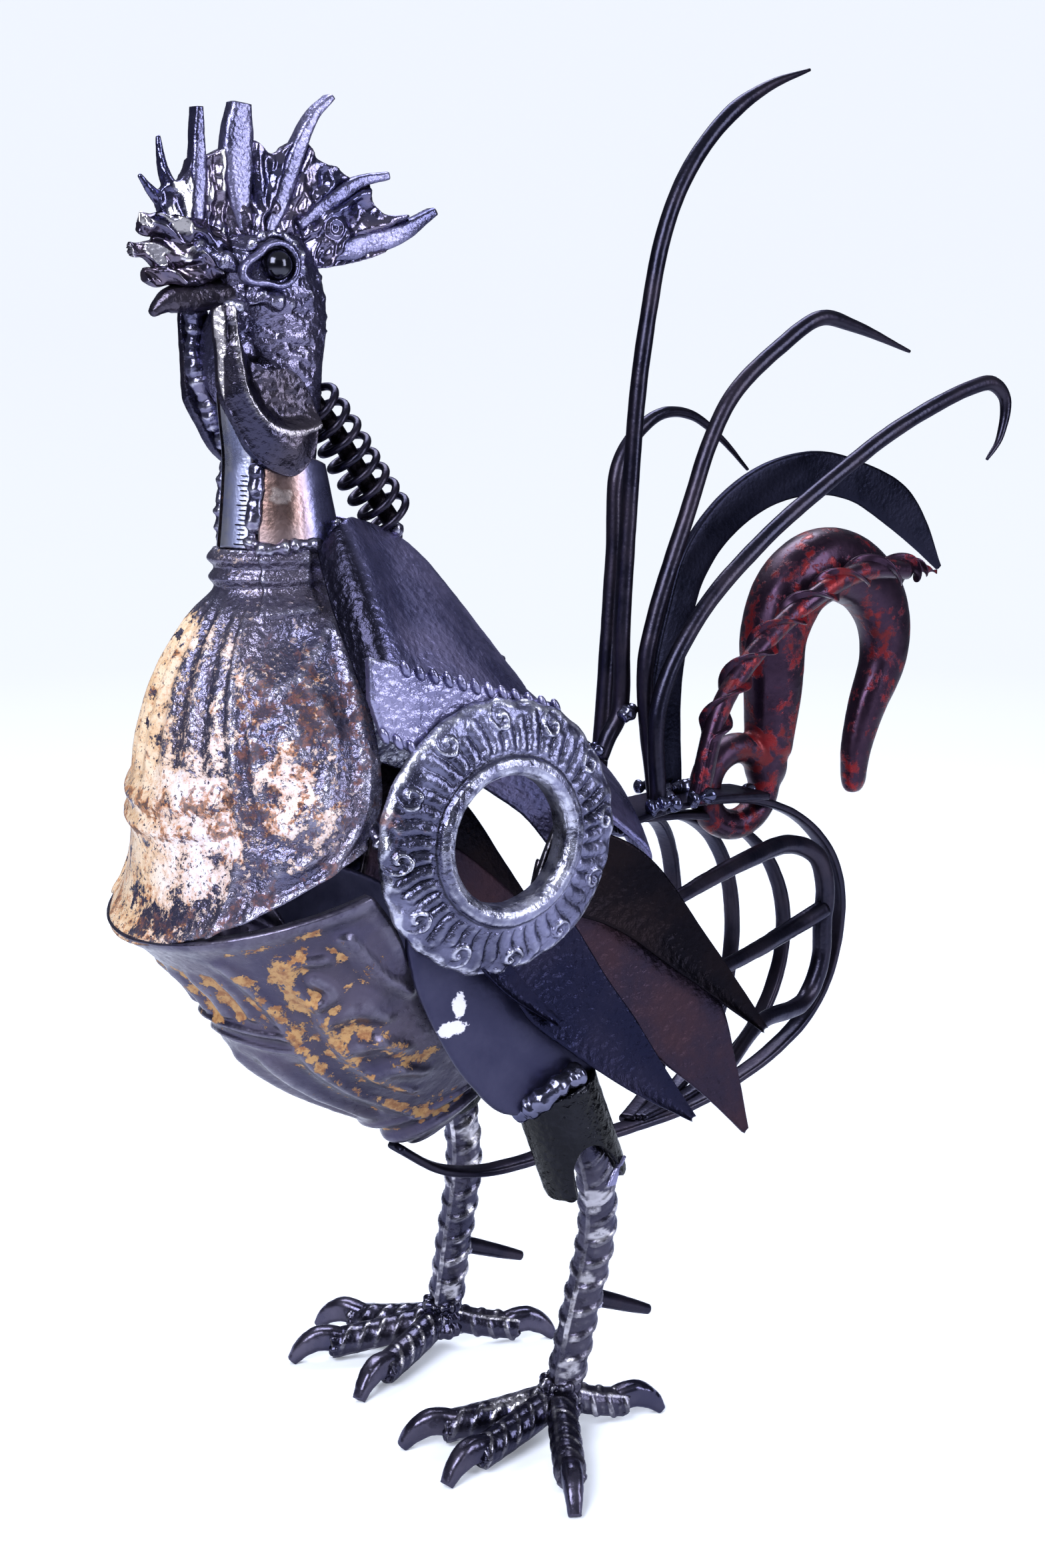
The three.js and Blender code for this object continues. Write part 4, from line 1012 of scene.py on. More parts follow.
# Face and tint are the two clouded tones; edge is the relief in millimetres where wear starts and is full
FINISHES = {
    "dark_iron": dict(face=(0.03, 0.029, 0.042), tint=(0.05, 0.044, 0.05), rust=0.14),
    "dark_bar": dict(
        face=(0.014, 0.0135, 0.021), tint=(0.027, 0.022, 0.028), edge=(3.0, 5.0), rough=(0.28, 0.4),
        bump=0.14, rust=0.08, coat=0.1),
    "blade_iron": dict(face=(0.008, 0.0085, 0.014), tint=(0.013, 0.013, 0.02), edge=(3.0, 5.0), rust=0.06),
    "feather_iron": dict(
        face=(0.0036, 0.003, 0.004), tint=(0.0075, 0.005, 0.005), bright=(0.2, 0.19, 0.22), edge=(0.9, 1.8),
        grain=300.0, bump=0.8, rust=0.2),
    "hammered_iron": dict(
        face=(0.0085, 0.009, 0.019), tint=(0.014, 0.013, 0.023), bright=(0.22, 0.22, 0.3), edge=(0.8, 1.6),
        grain=300.0, bump=1.0, rust=0.16),
    # back_iron is a lit copy of the dark iron. Its light face and tint stand in for the softbox light that
    # the back plates catch, a painted reflection. Its near-black rear tone is painted shade on the front
    # strip that turns in to the breast.
    "back_iron": dict(
        face=(0.15, 0.147, 0.235), tint=(0.22, 0.2, 0.285), bright=(0.25, 0.24, 0.32), edge=(4.0, 7.0),
        rough=(0.26, 0.38), grain=330.0, bump=1.0, rear=(0.02, 0.019, 0.028)),
    "pitted_iron": dict(
        face=(0.15, 0.145, 0.205), tint=(0.23, 0.22, 0.29), bright=(0.4, 0.4, 0.5), edge=(0.4, 1.2),
        rough=(0.24, 0.36), grain=330.0, bump=1.0, rust=0.06),
    "black_pipe": dict(
        face=(0.002, 0.002, 0.004), tint=(0.006, 0.006, 0.009), bright=(0.3, 0.29, 0.36), edge=(2.4, 4.0),
        rough=(0.1, 0.2), grain=330.0, bump=1.0, rust=0.0, coat=0.3, rim=0.03),
    "blue_weld": dict(
        face=(0.06, 0.062, 0.09), tint=(0.13, 0.13, 0.16), bright=(0.4, 0.4, 0.5), edge=(1.0, 2.0),
        rough=(0.1, 0.2), grain=300.0, bump=0.2, rust=0.0),
    "slag": dict(
        face=(0.085, 0.083, 0.125), tint=(0.14, 0.128, 0.165), bright=(0.45, 0.44, 0.55), edge=(0.3, 1.0),
        rough=(0.12, 0.24), grain=420.0, bump=1.0),
    "ground_steel": dict(
        face=(0.075, 0.074, 0.115), tint=(0.22, 0.21, 0.28), bright=(0.5, 0.48, 0.58), edge=(0.5, 1.3),
        rough=(0.2, 0.34), grain=700.0, bump=0.5, rust=0.12),
    "comb_melt": dict(
        face=(0.08, 0.08, 0.13), tint=(0.16, 0.135, 0.155), bright=(0.6, 0.58, 0.64), edge=(1.0, 2.2),
        rough=(0.1, 0.2), grain=500.0, bump=0.4),
    "brow_melt": dict(
        face=(0.06, 0.058, 0.09), tint=(0.15, 0.115, 0.11), bright=(0.92, 0.88, 0.94), edge=(0.5, 1.6),
        rough=(0.1, 0.2), grain=700.0, bump=0.15, rust=0.05),
    "rule_steel": dict(
        face=(0.36, 0.385, 0.48), tint=(0.46, 0.485, 0.58), bright=(0.6, 0.6, 0.68), edge=(0.9, 1.8),
        rough=(0.24, 0.36), grain=900.0, bump=0.15, rust=0.04),
    "wattle_steel": dict(
        face=(0.036, 0.034, 0.048), tint=(0.064, 0.054, 0.058), bright=(0.6, 0.56, 0.58), edge=(0.6, 1.6),
        rough=(0.18, 0.3), grain=420.0, bump=0.7),
    "claw_steel": dict(
        face=(0.045, 0.043, 0.06), tint=(0.085, 0.076, 0.088), bright=(0.5, 0.48, 0.52), edge=(1.6, 3.0),
        rough=(0.18, 0.3), grain=300.0, bump=0.3, rust=0.06),
    "weld_metal": dict(
        face=(0.1, 0.098, 0.135), tint=(0.15, 0.135, 0.16), bright=(0.5, 0.49, 0.58), edge=(0.1, 0.5),
        rough=(0.14, 0.26), grain=600.0, bump=0.3, rust=0.05),
    "ribbed_steel": dict(
        face=(0.028, 0.027, 0.041), tint=(0.054, 0.049, 0.06), bright=(0.5, 0.48, 0.52), edge=(0.3, 0.6),
        rough=(0.2, 0.32), grain=460.0, bump=0.35, rust=0.1, patchy=0.8, coat=0.1),
    "silver_cast": dict(
        face=(0.06, 0.06, 0.084), tint=(0.17, 0.17, 0.22), bright=(0.5, 0.5, 0.6), edge=(0.15, 0.9),
        rough=(0.22, 0.36), grain=380.0, bump=0.8, rust=0.24),
    # The rear tone, darker and bluer than the brown, is painted shade on the side of the neck plates turned
    # from the lamps.
    "brown_lacquer": dict(
        face=(0.22, 0.135, 0.095), tint=(0.32, 0.235, 0.19), bright=(0.72, 0.6, 0.56), edge=(0.9, 1.4),
        rough=(0.24, 0.36), grain=700.0, bump=0.12, rust=0.04, rear=(0.13, 0.13, 0.19)),
    "rust_sheet": dict(
        face=(0.021, 0.0155, 0.022), tint=(0.033, 0.018, 0.02), bright=(0.2, 0.18, 0.2), edge=(0.8, 1.6),
        rough=(0.28, 0.42), grain=300.0, bump=0.7, rust=0.2),
    "polished_ball": dict(
        face=(0.012, 0.012, 0.018), tint=(0.02, 0.02, 0.028), edge=(3.0, 5.0), rough=(0.1, 0.16), grain=700.0,
        bump=0.03, rust=0.0, coat=0.6),
    "cream_enamel": cream_enamel,
    "ochre_remains": ochre_remains,
    "red_paint": red_paint,
    "blue_sheet": blue_sheet,
}


MATERIALS = {}


def finish(name):
    """The named material, made when it is first used."""
    if name not in MATERIALS:
        recipe = FINISHES[name]
        MATERIALS[name] = worn_metal(name, **recipe) if isinstance(recipe, dict) else recipe()
    return MATERIALS[name]


# Finishing a piece
def forge(piece, material, lumps=0.15, lump_size=9.0, grit=0.06, grit_size=2.0, blur=10, seed=0.0):
    """Gives a piece its lumps, its grit and its material."""
    piece.data.materials.clear()
    values = {
        "Lumps": lumps * MM, "Lump size": lump_size * MM, "Grit": grit * MM, "Grit size": grit_size * MM,
        "Seed": seed, "Blur": blur, "Material": finish(material),
    }
    return run_nodes(piece, tree("forged"), values)


def ribbed(name, path, radius, rib, pitch, turn=0.0, seam=0.9, step_mm=0.8, sides=32):
    values = {
        "Sides": sides, "Step": step_mm * MM, "Rib": rib * MM, "Pitch": pitch * MM, "Turn": turn,
        "Seam": seam * MM, "Lumps": 0.6 * MM, "Material": finish("ribbed_steel"),
    }
    return run_nodes(trail(name, [(even_path(path, 60), radius)]), tree("ribbed"), values)


def weld(name, lines, step_mm=1.7, uneven=0.3, seed=3, material="weld_metal", voxel=0.75):
    """Weld runs melted into one skin; each line is its points and its radius."""
    values = {"Step": step_mm * MM, "Uneven": uneven, "Seed": seed, "Material": finish(material)}
    pools = run_nodes(trail(name, lines), tree("weld"), values)
    return forge(fused(pools, voxel, 2), material, 0.5, 3.5, 0.1, 1.2, 6, seed)


def marked(piece, key, values):
    """Keeps a value for each point of the piece."""
    field = piece.data.attributes.get(key) or piece.data.attributes.new(key, "FLOAT", "POINT")
    field.data.foreach_set("value", np.asarray(values, float).ravel())
    return piece


def scuffed(piece, spots):
    """Marks bright scuffs; each spot is its centre and its radius."""
    points = vertex_places(piece)
    ragged = 1 + 0.9 * cloudy(points, (4, 4, 2.6), 5.3)
    scuff = np.zeros(len(points))
    for centre, radius in spots:
        apart = np.linalg.norm(points - np.asarray(centre, float), axis=1)
        scuff = np.maximum(scuff, fall(apart, radius * 0.8 * ragged, radius * ragged + 0.1))
    return marked(piece, "ground", 0.8 * scuff)


def cloudy(points, sizes, shift=0.0):
    """Fixed cloud noise from -1 to 1; each axis has its own grain size in millimetres."""
    places = np.asarray(points, float) / np.asarray(sizes, float) + shift
    return np.array([noise.noise(Vector(place)) for place in places])


def ground_flat(points, near, normal, limit):
    """Grinds the chosen points down to a plane and tells which ones it touched."""
    normal = unit(normal)
    over = np.where(near, np.maximum(points @ normal - limit, 0), 0)
    points -= over[:, None] * normal
    return over > 0.02


def keep(piece, slot, *nodes):
    """Sets a finished piece into the bird in place of its solids."""
    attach(piece, "root")
    if nodes:
        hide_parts(*nodes)


# Legs and feet
def leg(name, side):
    sizes = bpy.context.scene.rooster_sizes
    path = on_side(side, LEG_PATHS[side])
    shank = ribbed(name, path, LEG_CORE, sizes.leg_rib / MM, sizes.leg_pitch / MM, 1.2)
    bend = side * FOOT_Y - 5.5
    spots = [((13, bend, 100), 6), ((15, bend - 1, 84), 4), ((10, bend - 1, 66), 3), ((1, bend, 30), 4)]
    scuffed(shank, spots)
    spur_path = on_side(side, SPUR_PATHS[side])
    spur = bar(name + "_spur", spur_path, lambda t: 3.7 - 1.5 * t ** 2, sides=16, steps=40)
    x, y, z = spur_path[0]
    turn = np.linspace(0, 5.5, 9)
    collar = [(x + 6 * math.cos(a), y + 5 * math.sin(a), z + 4 * math.sin(a)) for a in turn]
    root = weld(name + "_spur_root", [(collar, 2.0)], seed=5)
    return joined(name, [shank, forge(spur, "dark_bar"), root])


def toe(name, side, heading, reach):
    sizes = bpy.context.scene.rooster_sizes
    way = np.array([math.cos(math.radians(heading)), math.sin(math.radians(heading)), 0.0])
    hub = np.array([0.0, side * FOOT_Y, 0.0])

    def place(distance, z):
        return tuple(hub + way * distance + (0.0, 0.0, z))

    length = reach - CLAW_LENGTH + 4
    bone = ribbed(
        name, [place(4, 15), place(length * 0.5, 11), place(length, 7.4)], TOE_CORE, sizes.toe_rib / MM,
        sizes.toe_pitch / MM, 0.9, 0.7, 0.6, 30)
    if (side, heading) == SCUFFED_TOE:
        scuffed(bone, [(place(length * 0.4, 16.5), 6.5), (place(length * 0.55, 15.5), 5)])
    claw_path = [place(length - 5, 9), place(length + 5, 10.5), place(reach - 6, 7), place(reach - 1, 1.4)]
    sideways = np.cross(way, (0, 0, 1))
    claw = bar(name + "_claw", claw_path, CLAW_WIDE, CLAW_HIGH, sideways, 24, 50, 3.0)
    joint = hub + way * (length - 1) + (0, 0, 8.2)
    ring = np.linspace(0.3, 2 * math.pi + 0.1, 12)
    seam = [joint + sideways * 4.4 * math.sin(a) + (0, 0, 4.4 * math.cos(a)) for a in ring]
    knuckle = weld(name + "_knuckle", [(seam, 1.9)], 1.9, 0.35, 7, "ribbed_steel")
    whole = joined(name, [bone, forge(claw, "claw_steel", 0.4, 6.0, 0.05, 1.5, 3), knuckle])
    points = vertex_places(whole)
    points[:, 2] = np.maximum(points[:, 2], 0.05)
    move_to(whole, points)
    return whole


def hub_weld(name, side):
    """Lumps of weld metal where the toes meet the leg."""
    runs = []
    for radius, z, bead in ((7.6, 12, 3.6), (7.6, 17, 3.0), (6.6, 22, 2.4)):
        turn = np.linspace(0, 2 * math.pi, 16)
        runs.append(([(radius * math.cos(a), side * FOOT_Y + radius * math.sin(a), z) for a in turn], bead))
    return weld(name, runs, 3.2, 0.4, 11, "ribbed_steel", 0.85)


# Sockets
def pipe_socket(side):
    """Short pipe over the leg, its lower edge burnt out in an arch at the front."""
    top, low = np.array(on_side(side, [SOCKET_TOP, SOCKET_LOW]))
    axis = unit(low - top)
    out = unit(np.array([0.0, side, 0.0]) - axis * (axis[1] * side))
    front = np.cross(axis, out) * side
    length = np.linalg.norm(low - top)
    rings = []
    for angle in full_turn(120):
        spoke = out * math.cos(angle) + front * math.sin(angle)
        turn = (angle + ARCH_SHIFT + math.pi) % (2 * math.pi) - math.pi
        arch = ARCH_HEIGHT * np.sqrt(np.maximum(0, 1 - (turn / ARCH_HALF) ** 2))
        tear = 1.6 * swell(turn, -0.8, 0.14) + 1.0 * math.sin(3 * angle)
        heights = np.linspace(-4, length - arch + tear, 34)
        outer = [top + axis * h + spoke * SOCKET_RADIUS for h in heights]
        inner = [top + axis * h + spoke * SOCKET_BORE for h in heights[::-1]]
        rings.append(outer + inner)
    return lofted("leg_socket", rings, closed=True)


# Wings
def rosette(name, side):
    """Cast ring: raised hub rim, round-ended gadroons, small worn scrolls and a finely scalloped edge."""
    sizes = bpy.context.scene.rooster_sizes
    angle = full_turn(520)[:, None]
    share = np.linspace(0, 1, 46)[None, :]
    worn = 0.55 + 0.45 * np.sin(angle * 3 + 0.7) * np.sin(angle + 2.1)
    edge = RING_RADIUS + 0.55 * np.cos(2 * RING_SCROLLS * angle) * worn + 0.35 * np.sin(angle * 7 + 1)
    radius = edge + (RING_HOLE - edge) * share
    knots = [0, 0.03, 0.1, 0.3, 0.5, 0.68, 0.76, 0.86, 0.95, 1.0]
    level = np.interp(share, knots, [1.6, 3.4, 4.6, 6.4, 7.6, 9.4, 11.8, 12.6, 11.6, 9.0])
    unit_angle = 2 * math.pi / RING_SCROLLS
    local = (angle + unit_angle / 2) % unit_angle - unit_angle / 2
    sway = 0.022 * np.sin((share - 0.34) * 8)
    fluting = np.abs(np.sin((angle + sway) * sizes.ring_flutes / 2)) ** 0.5
    start = 0.17 + 0.1 * np.cos(local * RING_SCROLLS) + 0.1 * (1 - fluting)
    ends = step(share, start, start + 0.08) * fall(share, 0.6, 0.69)
    flutes = 2.6 * (fluting - 0.6) * ends * (0.55 + 0.45 * worn)
    du = local * 45.0 - 2.0
    dv = radius - 45.0
    far = np.hypot(du, dv)
    spiral = np.cos(np.arctan2(dv, du) - far * 1.3)
    curl = 2.0 * step(spiral, -0.1, 0.7) * fall(far, 4.4, 5.6) * (0.45 + 0.55 * worn)
    leaf = 1.1 * np.cos((angle * RING_SCROLLS * 2) + 1.6) * swell(share, 0.07, 0.05) * worn
    groove = -1.1 * swell(share, 0.715, 0.02)
    height = level + flutes + curl + leaf + groove
    x = RING_X + radius * np.cos(angle)
    z = RING_Z + radius * np.sin(angle)
    front = np.stack([x, side * (RING_BACK + height), z], -1)
    back_radius = np.linspace(RING_HOLE, RING_RADIUS - 1, 6)[None, :]
    back = np.stack([
        RING_X + back_radius * np.cos(angle),
        side * (RING_BACK + np.interp(back_radius, [24, 27, 50], [2.0, 0.6, 0.2])) + 0 * angle,
        RING_Z + back_radius * np.sin(angle),
    ], -1)
    return lofted(name, np.concatenate([front, back], axis=1), closed=True)


def feather(name, side, rows, thick=SHEET, crown=1.5):
    upper = [(x, side * y, z) for x, y, z, _, _ in rows]
    lower = [(x, side * y, z) for _, y, _, x, z in rows]
    return panel(name, upper, lower, thick, side * crown, 22, 72)


def shoulder_plate(name, side):
    body = fused(plate(name, SHOULDER, side * 63.5, 4.0), 1.0, 1)
    body = forge(body, "pitted_iron", 0.3, 5.0, 0.25, 1.6, 10)
    beads = []
    for rope, pitch in ((ROPE_TOP, 5.8), (ROPE_LOW, 5.4)):
        line = trail(name + "_rope", [(upright(side * 65.8, rope), 1.0)])
        values = {
            "Pitch": pitch * MM, "Size": (3.1 * MM, 3.8 * MM, 6.6 * MM),
            "Turn": (0.0, math.radians(-22), 0.0), "Material": finish("pitted_iron"),
        }
        beads.append(run_nodes(line, tree("stamped"), values))
    return joined(name, [body, *beads])


# Breast
def drawn_relief(degrees, share, lines):
    """Height of cords drawn on the shell: each line has points in degrees and percent, a width, a height."""
    height = np.zeros(np.broadcast(degrees, share).shape)
    u = degrees * 0.95 + 0 * share
    v = share * 140 + 0 * degrees
    for points, width, rise in lines:
        run = smooth([(a * 0.95, p * 1.4) for a, p in points], np.linspace(0, 1, 8 * len(points)))
        apart, _ = line_distance(u, v, run)
        height = height + rise * np.exp(-((apart / width) ** 2))
    return height


UPPER_LINES = [
    ([(41, 38), (41, 60), (43, 80), (40, 100)], 1.9, 1.7),
    ([(84, 46), (86, 62), (84, 76), (82, 88), (78, 98)], 2.8, 2.0),
    ([(48, 56), (58, 59), (72, 54), (80, 48)], 2.6, 1.4),
    ([(49, 66), (52, 76), (60, 80), (70, 76), (75, 67), (70, 59)], 3.0, 1.5),
    ([(48, 84), (56, 87), (66, 85), (76, 84)], 3.4, 1.0),
    ([(56, 88), (55, 94), (52, 99)], 3.4, 0.9),
]
LOWER_LINES = [
    ([(33, 10), (38, 30), (42, 52), (46, 74), (54, 88)], 2.8, 1.6),
    ([(0, 34), (14, 35), (28, 37), (38, 38)], 2.0, 1.9),
    ([(0, 40), (14, 41), (28, 43), (39, 44)], 1.6, 1.3),
    ([(64, 14), (55, 13), (50, 20), (54, 27), (61, 24), (58, 19)], 2.4, 1.8),
    ([(54, 27), (55, 42), (58, 56), (63, 70)], 2.6, 1.6),
    ([(56, 34), (66, 32), (74, 36)], 3.6, 1.6),
    ([(57, 46), (67, 44), (74, 49)], 3.6, 1.6),
    ([(59, 58), (68, 57), (74, 62)], 3.4, 1.4),
    ([(74, 10), (78, 22), (86, 30)], 2.8, 2.2),
]
# Where ochre is left on the flank, drawn in the same way
LOWER_PAINT = [
    ([(40, 6), (54, 5), (70, 4)], 2.6, 0.38),
    ([(37, 14), (38, 24), (41, 36), (44, 52), (48, 70), (55, 84), (68, 90)], 3.2, 0.36),
    ([(60, 10), (52, 12), (48, 20), (52, 28), (53, 42), (57, 56), (61, 72)], 4.6, 0.36),
    ([(52, 26), (60, 25), (66, 22)], 2.8, 0.26),
    ([(66, 40), (72, 46), (76, 54)], 9.0, 0.33),
    ([(72, 14), (76, 20)], 6.0, 0.28),
    ([(48, 74), (60, 80), (74, 84)], 2.6, 0.22),
]


def upper_relief(angle, share):
    """Fluted front between two cords, a double cross moulding, scrolls and pillows on each flank."""
    degrees = np.abs(np.degrees(angle))
    body = step(share, 0.36, 0.46)
    front = fall(degrees, 36, 41)
    flutes = 0.95 * np.cos(np.radians(degrees) * 31) * fall(degrees, 33, 38) * fall(share, 0.68, 0.725)
    mouldings = (3.0 * swell(share, 0.736, 0.016) + 2.8 * swell(share, 0.778, 0.016)) * front
    pillows = 4.6 * swell(degrees, 62, 8) * swell(share, 0.67, 0.05)
    pillows = pillows + 4.4 * swell(degrees, 68, 9) * swell(share, 0.8, 0.045)
    pillows = pillows + 3.6 * swell(degrees, 66, 8) * swell(share, 0.905, 0.03)
    dip = -4.2 * swell(degrees, 64, 9) * swell(share, 0.5, 0.05)
    lip = 2.2 * step(share, 0.965, 1.0)
    cords = 1.5 * drawn_relief(degrees, share, UPPER_LINES)
    pad = 2.2 * step(degrees, 46, 49) * fall(degrees, 78, 81) * fall(share, 0.42, 0.44)
    return body * (flutes + mouldings + pillows + dip + cords) + lip + pad


def upper_marks(angle, share):
    """Where the upper shell keeps its enamel, where it rusts and where it has yellowed."""
    degrees = np.degrees(angle)
    apart = np.abs(degrees)
    flank = step(apart, 40, 46)
    front = 1 - flank
    streaks = 0.1 * np.cos(np.radians(apart) * 31)
    kept = 0.72 - (0.36 - streaks) * step(-degrees, 2, 14) * front * fall(share, 0.64, 0.72)
    pads = swell(apart, 56, 13) * swell(share, 0.72, 0.05) + swell(apart, 62, 9) * swell(share, 0.8, 0.04)
    pads = pads + 0.7 * swell(apart, 64, 8) * swell(share, 0.9, 0.035)
    kept = kept + flank * (0.28 + 0.36 * np.minimum(pads, 1) - 0.24 * fall(share, 0.48, 0.58) - kept)
    kept = (kept - 0.4 * step(apart, 74, 84)) * step(share, 0.385, 0.46)
    kept = kept - 0.34 * step(share, 0.86, 0.96) * step(-degrees, -10, 16)
    rusty = 0.44 + 0.42 * (swell(share, 0.738, 0.018) + swell(share, 0.784, 0.016)) * front
    rusty = rusty + 0.32 * flank * swell(share, 0.66, 0.15) + 0.25 * step(share, 0.9, 0.97)
    rusty = rusty * (0.15 + 0.85 * step(share, 0.4, 0.52))
    return {"kept": kept, "rusty": np.minimum(rusty, 1), "warm": step(degrees, -34, 4) + 0 * share}


def lower_marks(angle, share):
    """Where the lower shell keeps ochre paint."""
    degrees = np.degrees(angle)
    apart = np.abs(degrees)
    stripes = 0.12 * np.cos(np.radians(apart) * 26)
    kept = 0.14 + (0.3 - stripes) * fall(apart, 28, 40) * step(share, 0.1, 0.16) * fall(share, 0.32, 0.38)
    return {"kept": np.minimum(kept + drawn_relief(apart, share, LOWER_PAINT), 0.66)}


def lower_relief(angle, share):
    """Short flutes under a plain rim, a double cord, leaf scrolls on each flank and rolls at the toe."""
    degrees = np.abs(np.degrees(angle))
    rim = 1.6 * swell(share, 0.02, 0.03)
    short = 1.9 * np.cos(np.radians(degrees) * 26) * fall(degrees, 28, 32) * step(share, 0.13, 0.17)
    short = short * fall(share, 0.3, 0.33)
    long = 1.8 * np.cos(np.radians(degrees) * 16) * fall(degrees, 34, 44) * step(share, 0.45, 0.5)
    long = long * fall(share, 0.74, 0.82)
    rolls = 1.9 * np.cos(share * 60) * step(share, 0.82, 0.86)
    pillows = 3.4 * swell(degrees, 68, 8) * swell(share, 0.3, 0.05)
    pillows = pillows + 3.6 * swell(degrees, 66, 8) * swell(share, 0.44, 0.05)
    pillows = pillows + 3.2 * swell(degrees, 66, 8) * swell(share, 0.58, 0.05)
    return rim + short + long + rolls + pillows + 1.35 * drawn_relief(degrees, share, LOWER_LINES)


def breast_shell(name, rows, relief, marks, along, around):
    share = np.linspace(0, 1, along)
    front = smooth([(x, 0, z) for x, z, *_ in rows], share)
    rear = smooth([(x, half, z) for _, _, x, z, half in rows], share)
    angle = np.linspace(-math.pi / 2, math.pi / 2, around)[None, :]
    half = rear[:, 1:2]
    centre = rear * (1, 0, 1)
    depth = front - centre
    reach = np.linalg.norm(depth, axis=1, keepdims=True)
    forward = unit(depth)

    def skin(inset, raised):
        run = np.cos(angle) * (reach - inset + raised)
        points = centre[:, None] + forward[:, None] * run[..., None]
        points[..., 1] = np.sin(angle) * (half - inset + raised * np.abs(np.sin(angle)))
        return points

    raised = relief(angle, share[:, None])
    shell = thick_grid(name, skin(0.0, raised), skin(SHELL_WALL, 0.4 * raised))
    for key, values in marks(angle, share[:, None]).items():
        inside = np.zeros_like(values) if key == "kept" else values
        marked(shell, key, np.concatenate([values.ravel(), inside.ravel()]))
    return shell


# Back
def back_plate(name, side):
    """Bowed sheet whose front edge turns in to the breast; that strip is painted dark, as shade in the gap at
    the breast.
    """
    plate = panel(name, on_side(side, BACK_RIDGE), on_side(side, BACK_FLANK), SHEET, side * -3, 70, 80)
    # warm is 0 on the front strip, which takes back_iron's near-black rear tone: painted shade.
    marked(plate, "warm", step(vertex_places(plate)[:, 0], -86, -80))
    return plate


def saddle(name):
    rows = np.linspace(0, 1, 61)
    ridge = smooth(SADDLE_RIDGE, rows)
    halves = []
    for side in (LEFT, RIGHT):
        flank = smooth(on_side(side, SADDLE_FLANK), rows)
        share = np.linspace(1, 0, 31) if side == LEFT else np.linspace(0, 1, 31)[1:]
        lift = 4 * share * (1 - share) * 2.5
        grid = ridge[:, None] + (flank - ridge)[:, None] * share[None, :, None]
        grid[..., 2] += lift
        halves.append(grid)
    outer = np.concatenate(halves, axis=1)
    normal = grid_normals(outer)
    normal = normal * np.sign(normal[..., 2:3].mean())
    plate = thick_grid(name, outer, outer - normal * SHEET)
    # warm is 1 everywhere, so the saddle takes none of back_iron's painted shade tone.
    return marked(plate, "warm", np.ones(len(plate.data.vertices)))


# Neck
def neck_plate(name, side):
    share = np.linspace(0, 1, 36)[:, None]
    angle = np.radians(np.linspace(12, 136, 60))[None, :]

    def skin(radius):
        size = (radius - 3.5 * share) * (1 + 0.16 * np.maximum(np.cos(angle), 0) * (1 - 0.6 * share))
        top = NECK_FOOT + (NECK_HEIGHT - 6 * np.maximum(np.cos(angle), 0)) * share
        return np.stack([NECK_X + size * np.cos(angle), side * size * np.sin(angle), top], -1)

    sheet = thick_grid(name, skin(NECK_RADIUS), skin(NECK_BORE))
    # warm is 0 where the plate turns away from the camera and the key light; there brown_lacquer's darker,
    # bluer rear tone is painted shade.
    warm = np.tile(step(np.degrees(angle), 74, 96), (36, 1)).ravel()
    scuffed(sheet, [((-103.5, side * 18.5, 381), 3.6)])
    return marked(sheet, "warm", np.concatenate([warm, warm]))


def throat_rule(name):
    spine = even_path(upright(0, THROAT), 70)
    half = [(0.5, 1.6), (1.4, 0.7), (6, 3.6), (10.6, 6.2), (11, 7), (10.4, 8.4), (0.5, 3.0)]
    section = half + [(-y, back) for y, back in half[::-1]]
    narrow = np.linspace(0.62, 1, 71) ** 0.5
    rings = [[(at[0] + back, y * size, at[2]) for y, back in section] for at, size in zip(spine, narrow)]
    body = forge(lofted(name, rings), "rule_steel", 0.1, 9.0, 0.03, 2.0)
    # The near-black rod laid in the crease of the fold is painted shade; the rows added after it are the
    # rule's ticks.
    groove = bar("groove", spine + (1.1, 0.0, 0.0), 0.75, sides=10, steps=60)
    ticks = [forge(groove, "feather_iron", 0.05)]
    for low, high, reach in ((364, 388, -8.6), (404, 420, -8.8)):
        heights = np.linspace(low, high, 14)
        spot = np.array([np.interp(z, spine[::-1, 2], spine[::-1, 0]) for z in heights])
        path = [(x + 4.6, reach, z) for x, z in zip(spot, heights)]
        row = trail(name + "_ticks", [(path, 1.0)])
        values = {
            "Pitch": 1.7 * MM, "Size": (0.5 * MM, 2.6 * MM, 0.35 * MM), "Turn": (0.0, 0.0, math.radians(30)),
            "Long every": 4, "Long": 1.9, "Square": True, "Material": finish("feather_iron"),
        }
        ticks.append(run_nodes(row, tree("stamped"), values))
    return joined(name, [body, *ticks])


# Head
def skull(name):
    rings = []
    for x, z, a, b in SKULL_ROWS:
        rings.append([(x + a * math.cos(t), b * math.sin(t), z) for t in full_turn(40)])
    block = lofted(name, smooth_rings(rings, 60))
    gullet = blob(name + "_gullet", (-113, 3, 430), (9, 13, 19))
    rod = bar(name + "_rod", upright(0, SPRING_AXIS), 3.6, sides=16, steps=30)
    turn = np.linspace(-2.4, 2.6, 22)
    seams = [
        ([(EYE[0] + 11 * math.cos(a), 13.4, EYE[2] + 10.5 * math.sin(a)) for a in turn], 2.1),
        ([(-112, 13, 452), (-106, 14.5, 449), (-98, 15, 447), (-89, 14, 450)], 2.6),
        ([(-116, 12, 459), (-122, 9, 463), (-128, 7, 466)], 3.0),
        ([(-122, 15, 447), (-117, 16, 446), (-112, 14, 449)], 2.4),
        ([(-84, 9, 456), (-81, 8, 448), (-80, 8, 438)], 2.4),
    ]
    runs = [(on_side(side, line), radius) for side in (LEFT, RIGHT) for line, radius in seams]
    lumps = weld(name + "_lumps", runs, 2.2, 0.4, 21)
    whole = fused(joined(name, [block, gullet, lumps]), 0.95, 1)
    whole = forge(roughened(whole), "slag", 0.3, 5.0, 0.15, 1.8, 10, 2.0)
    return joined(name, [whole, forge(rod, "feather_iron", 0.2)])


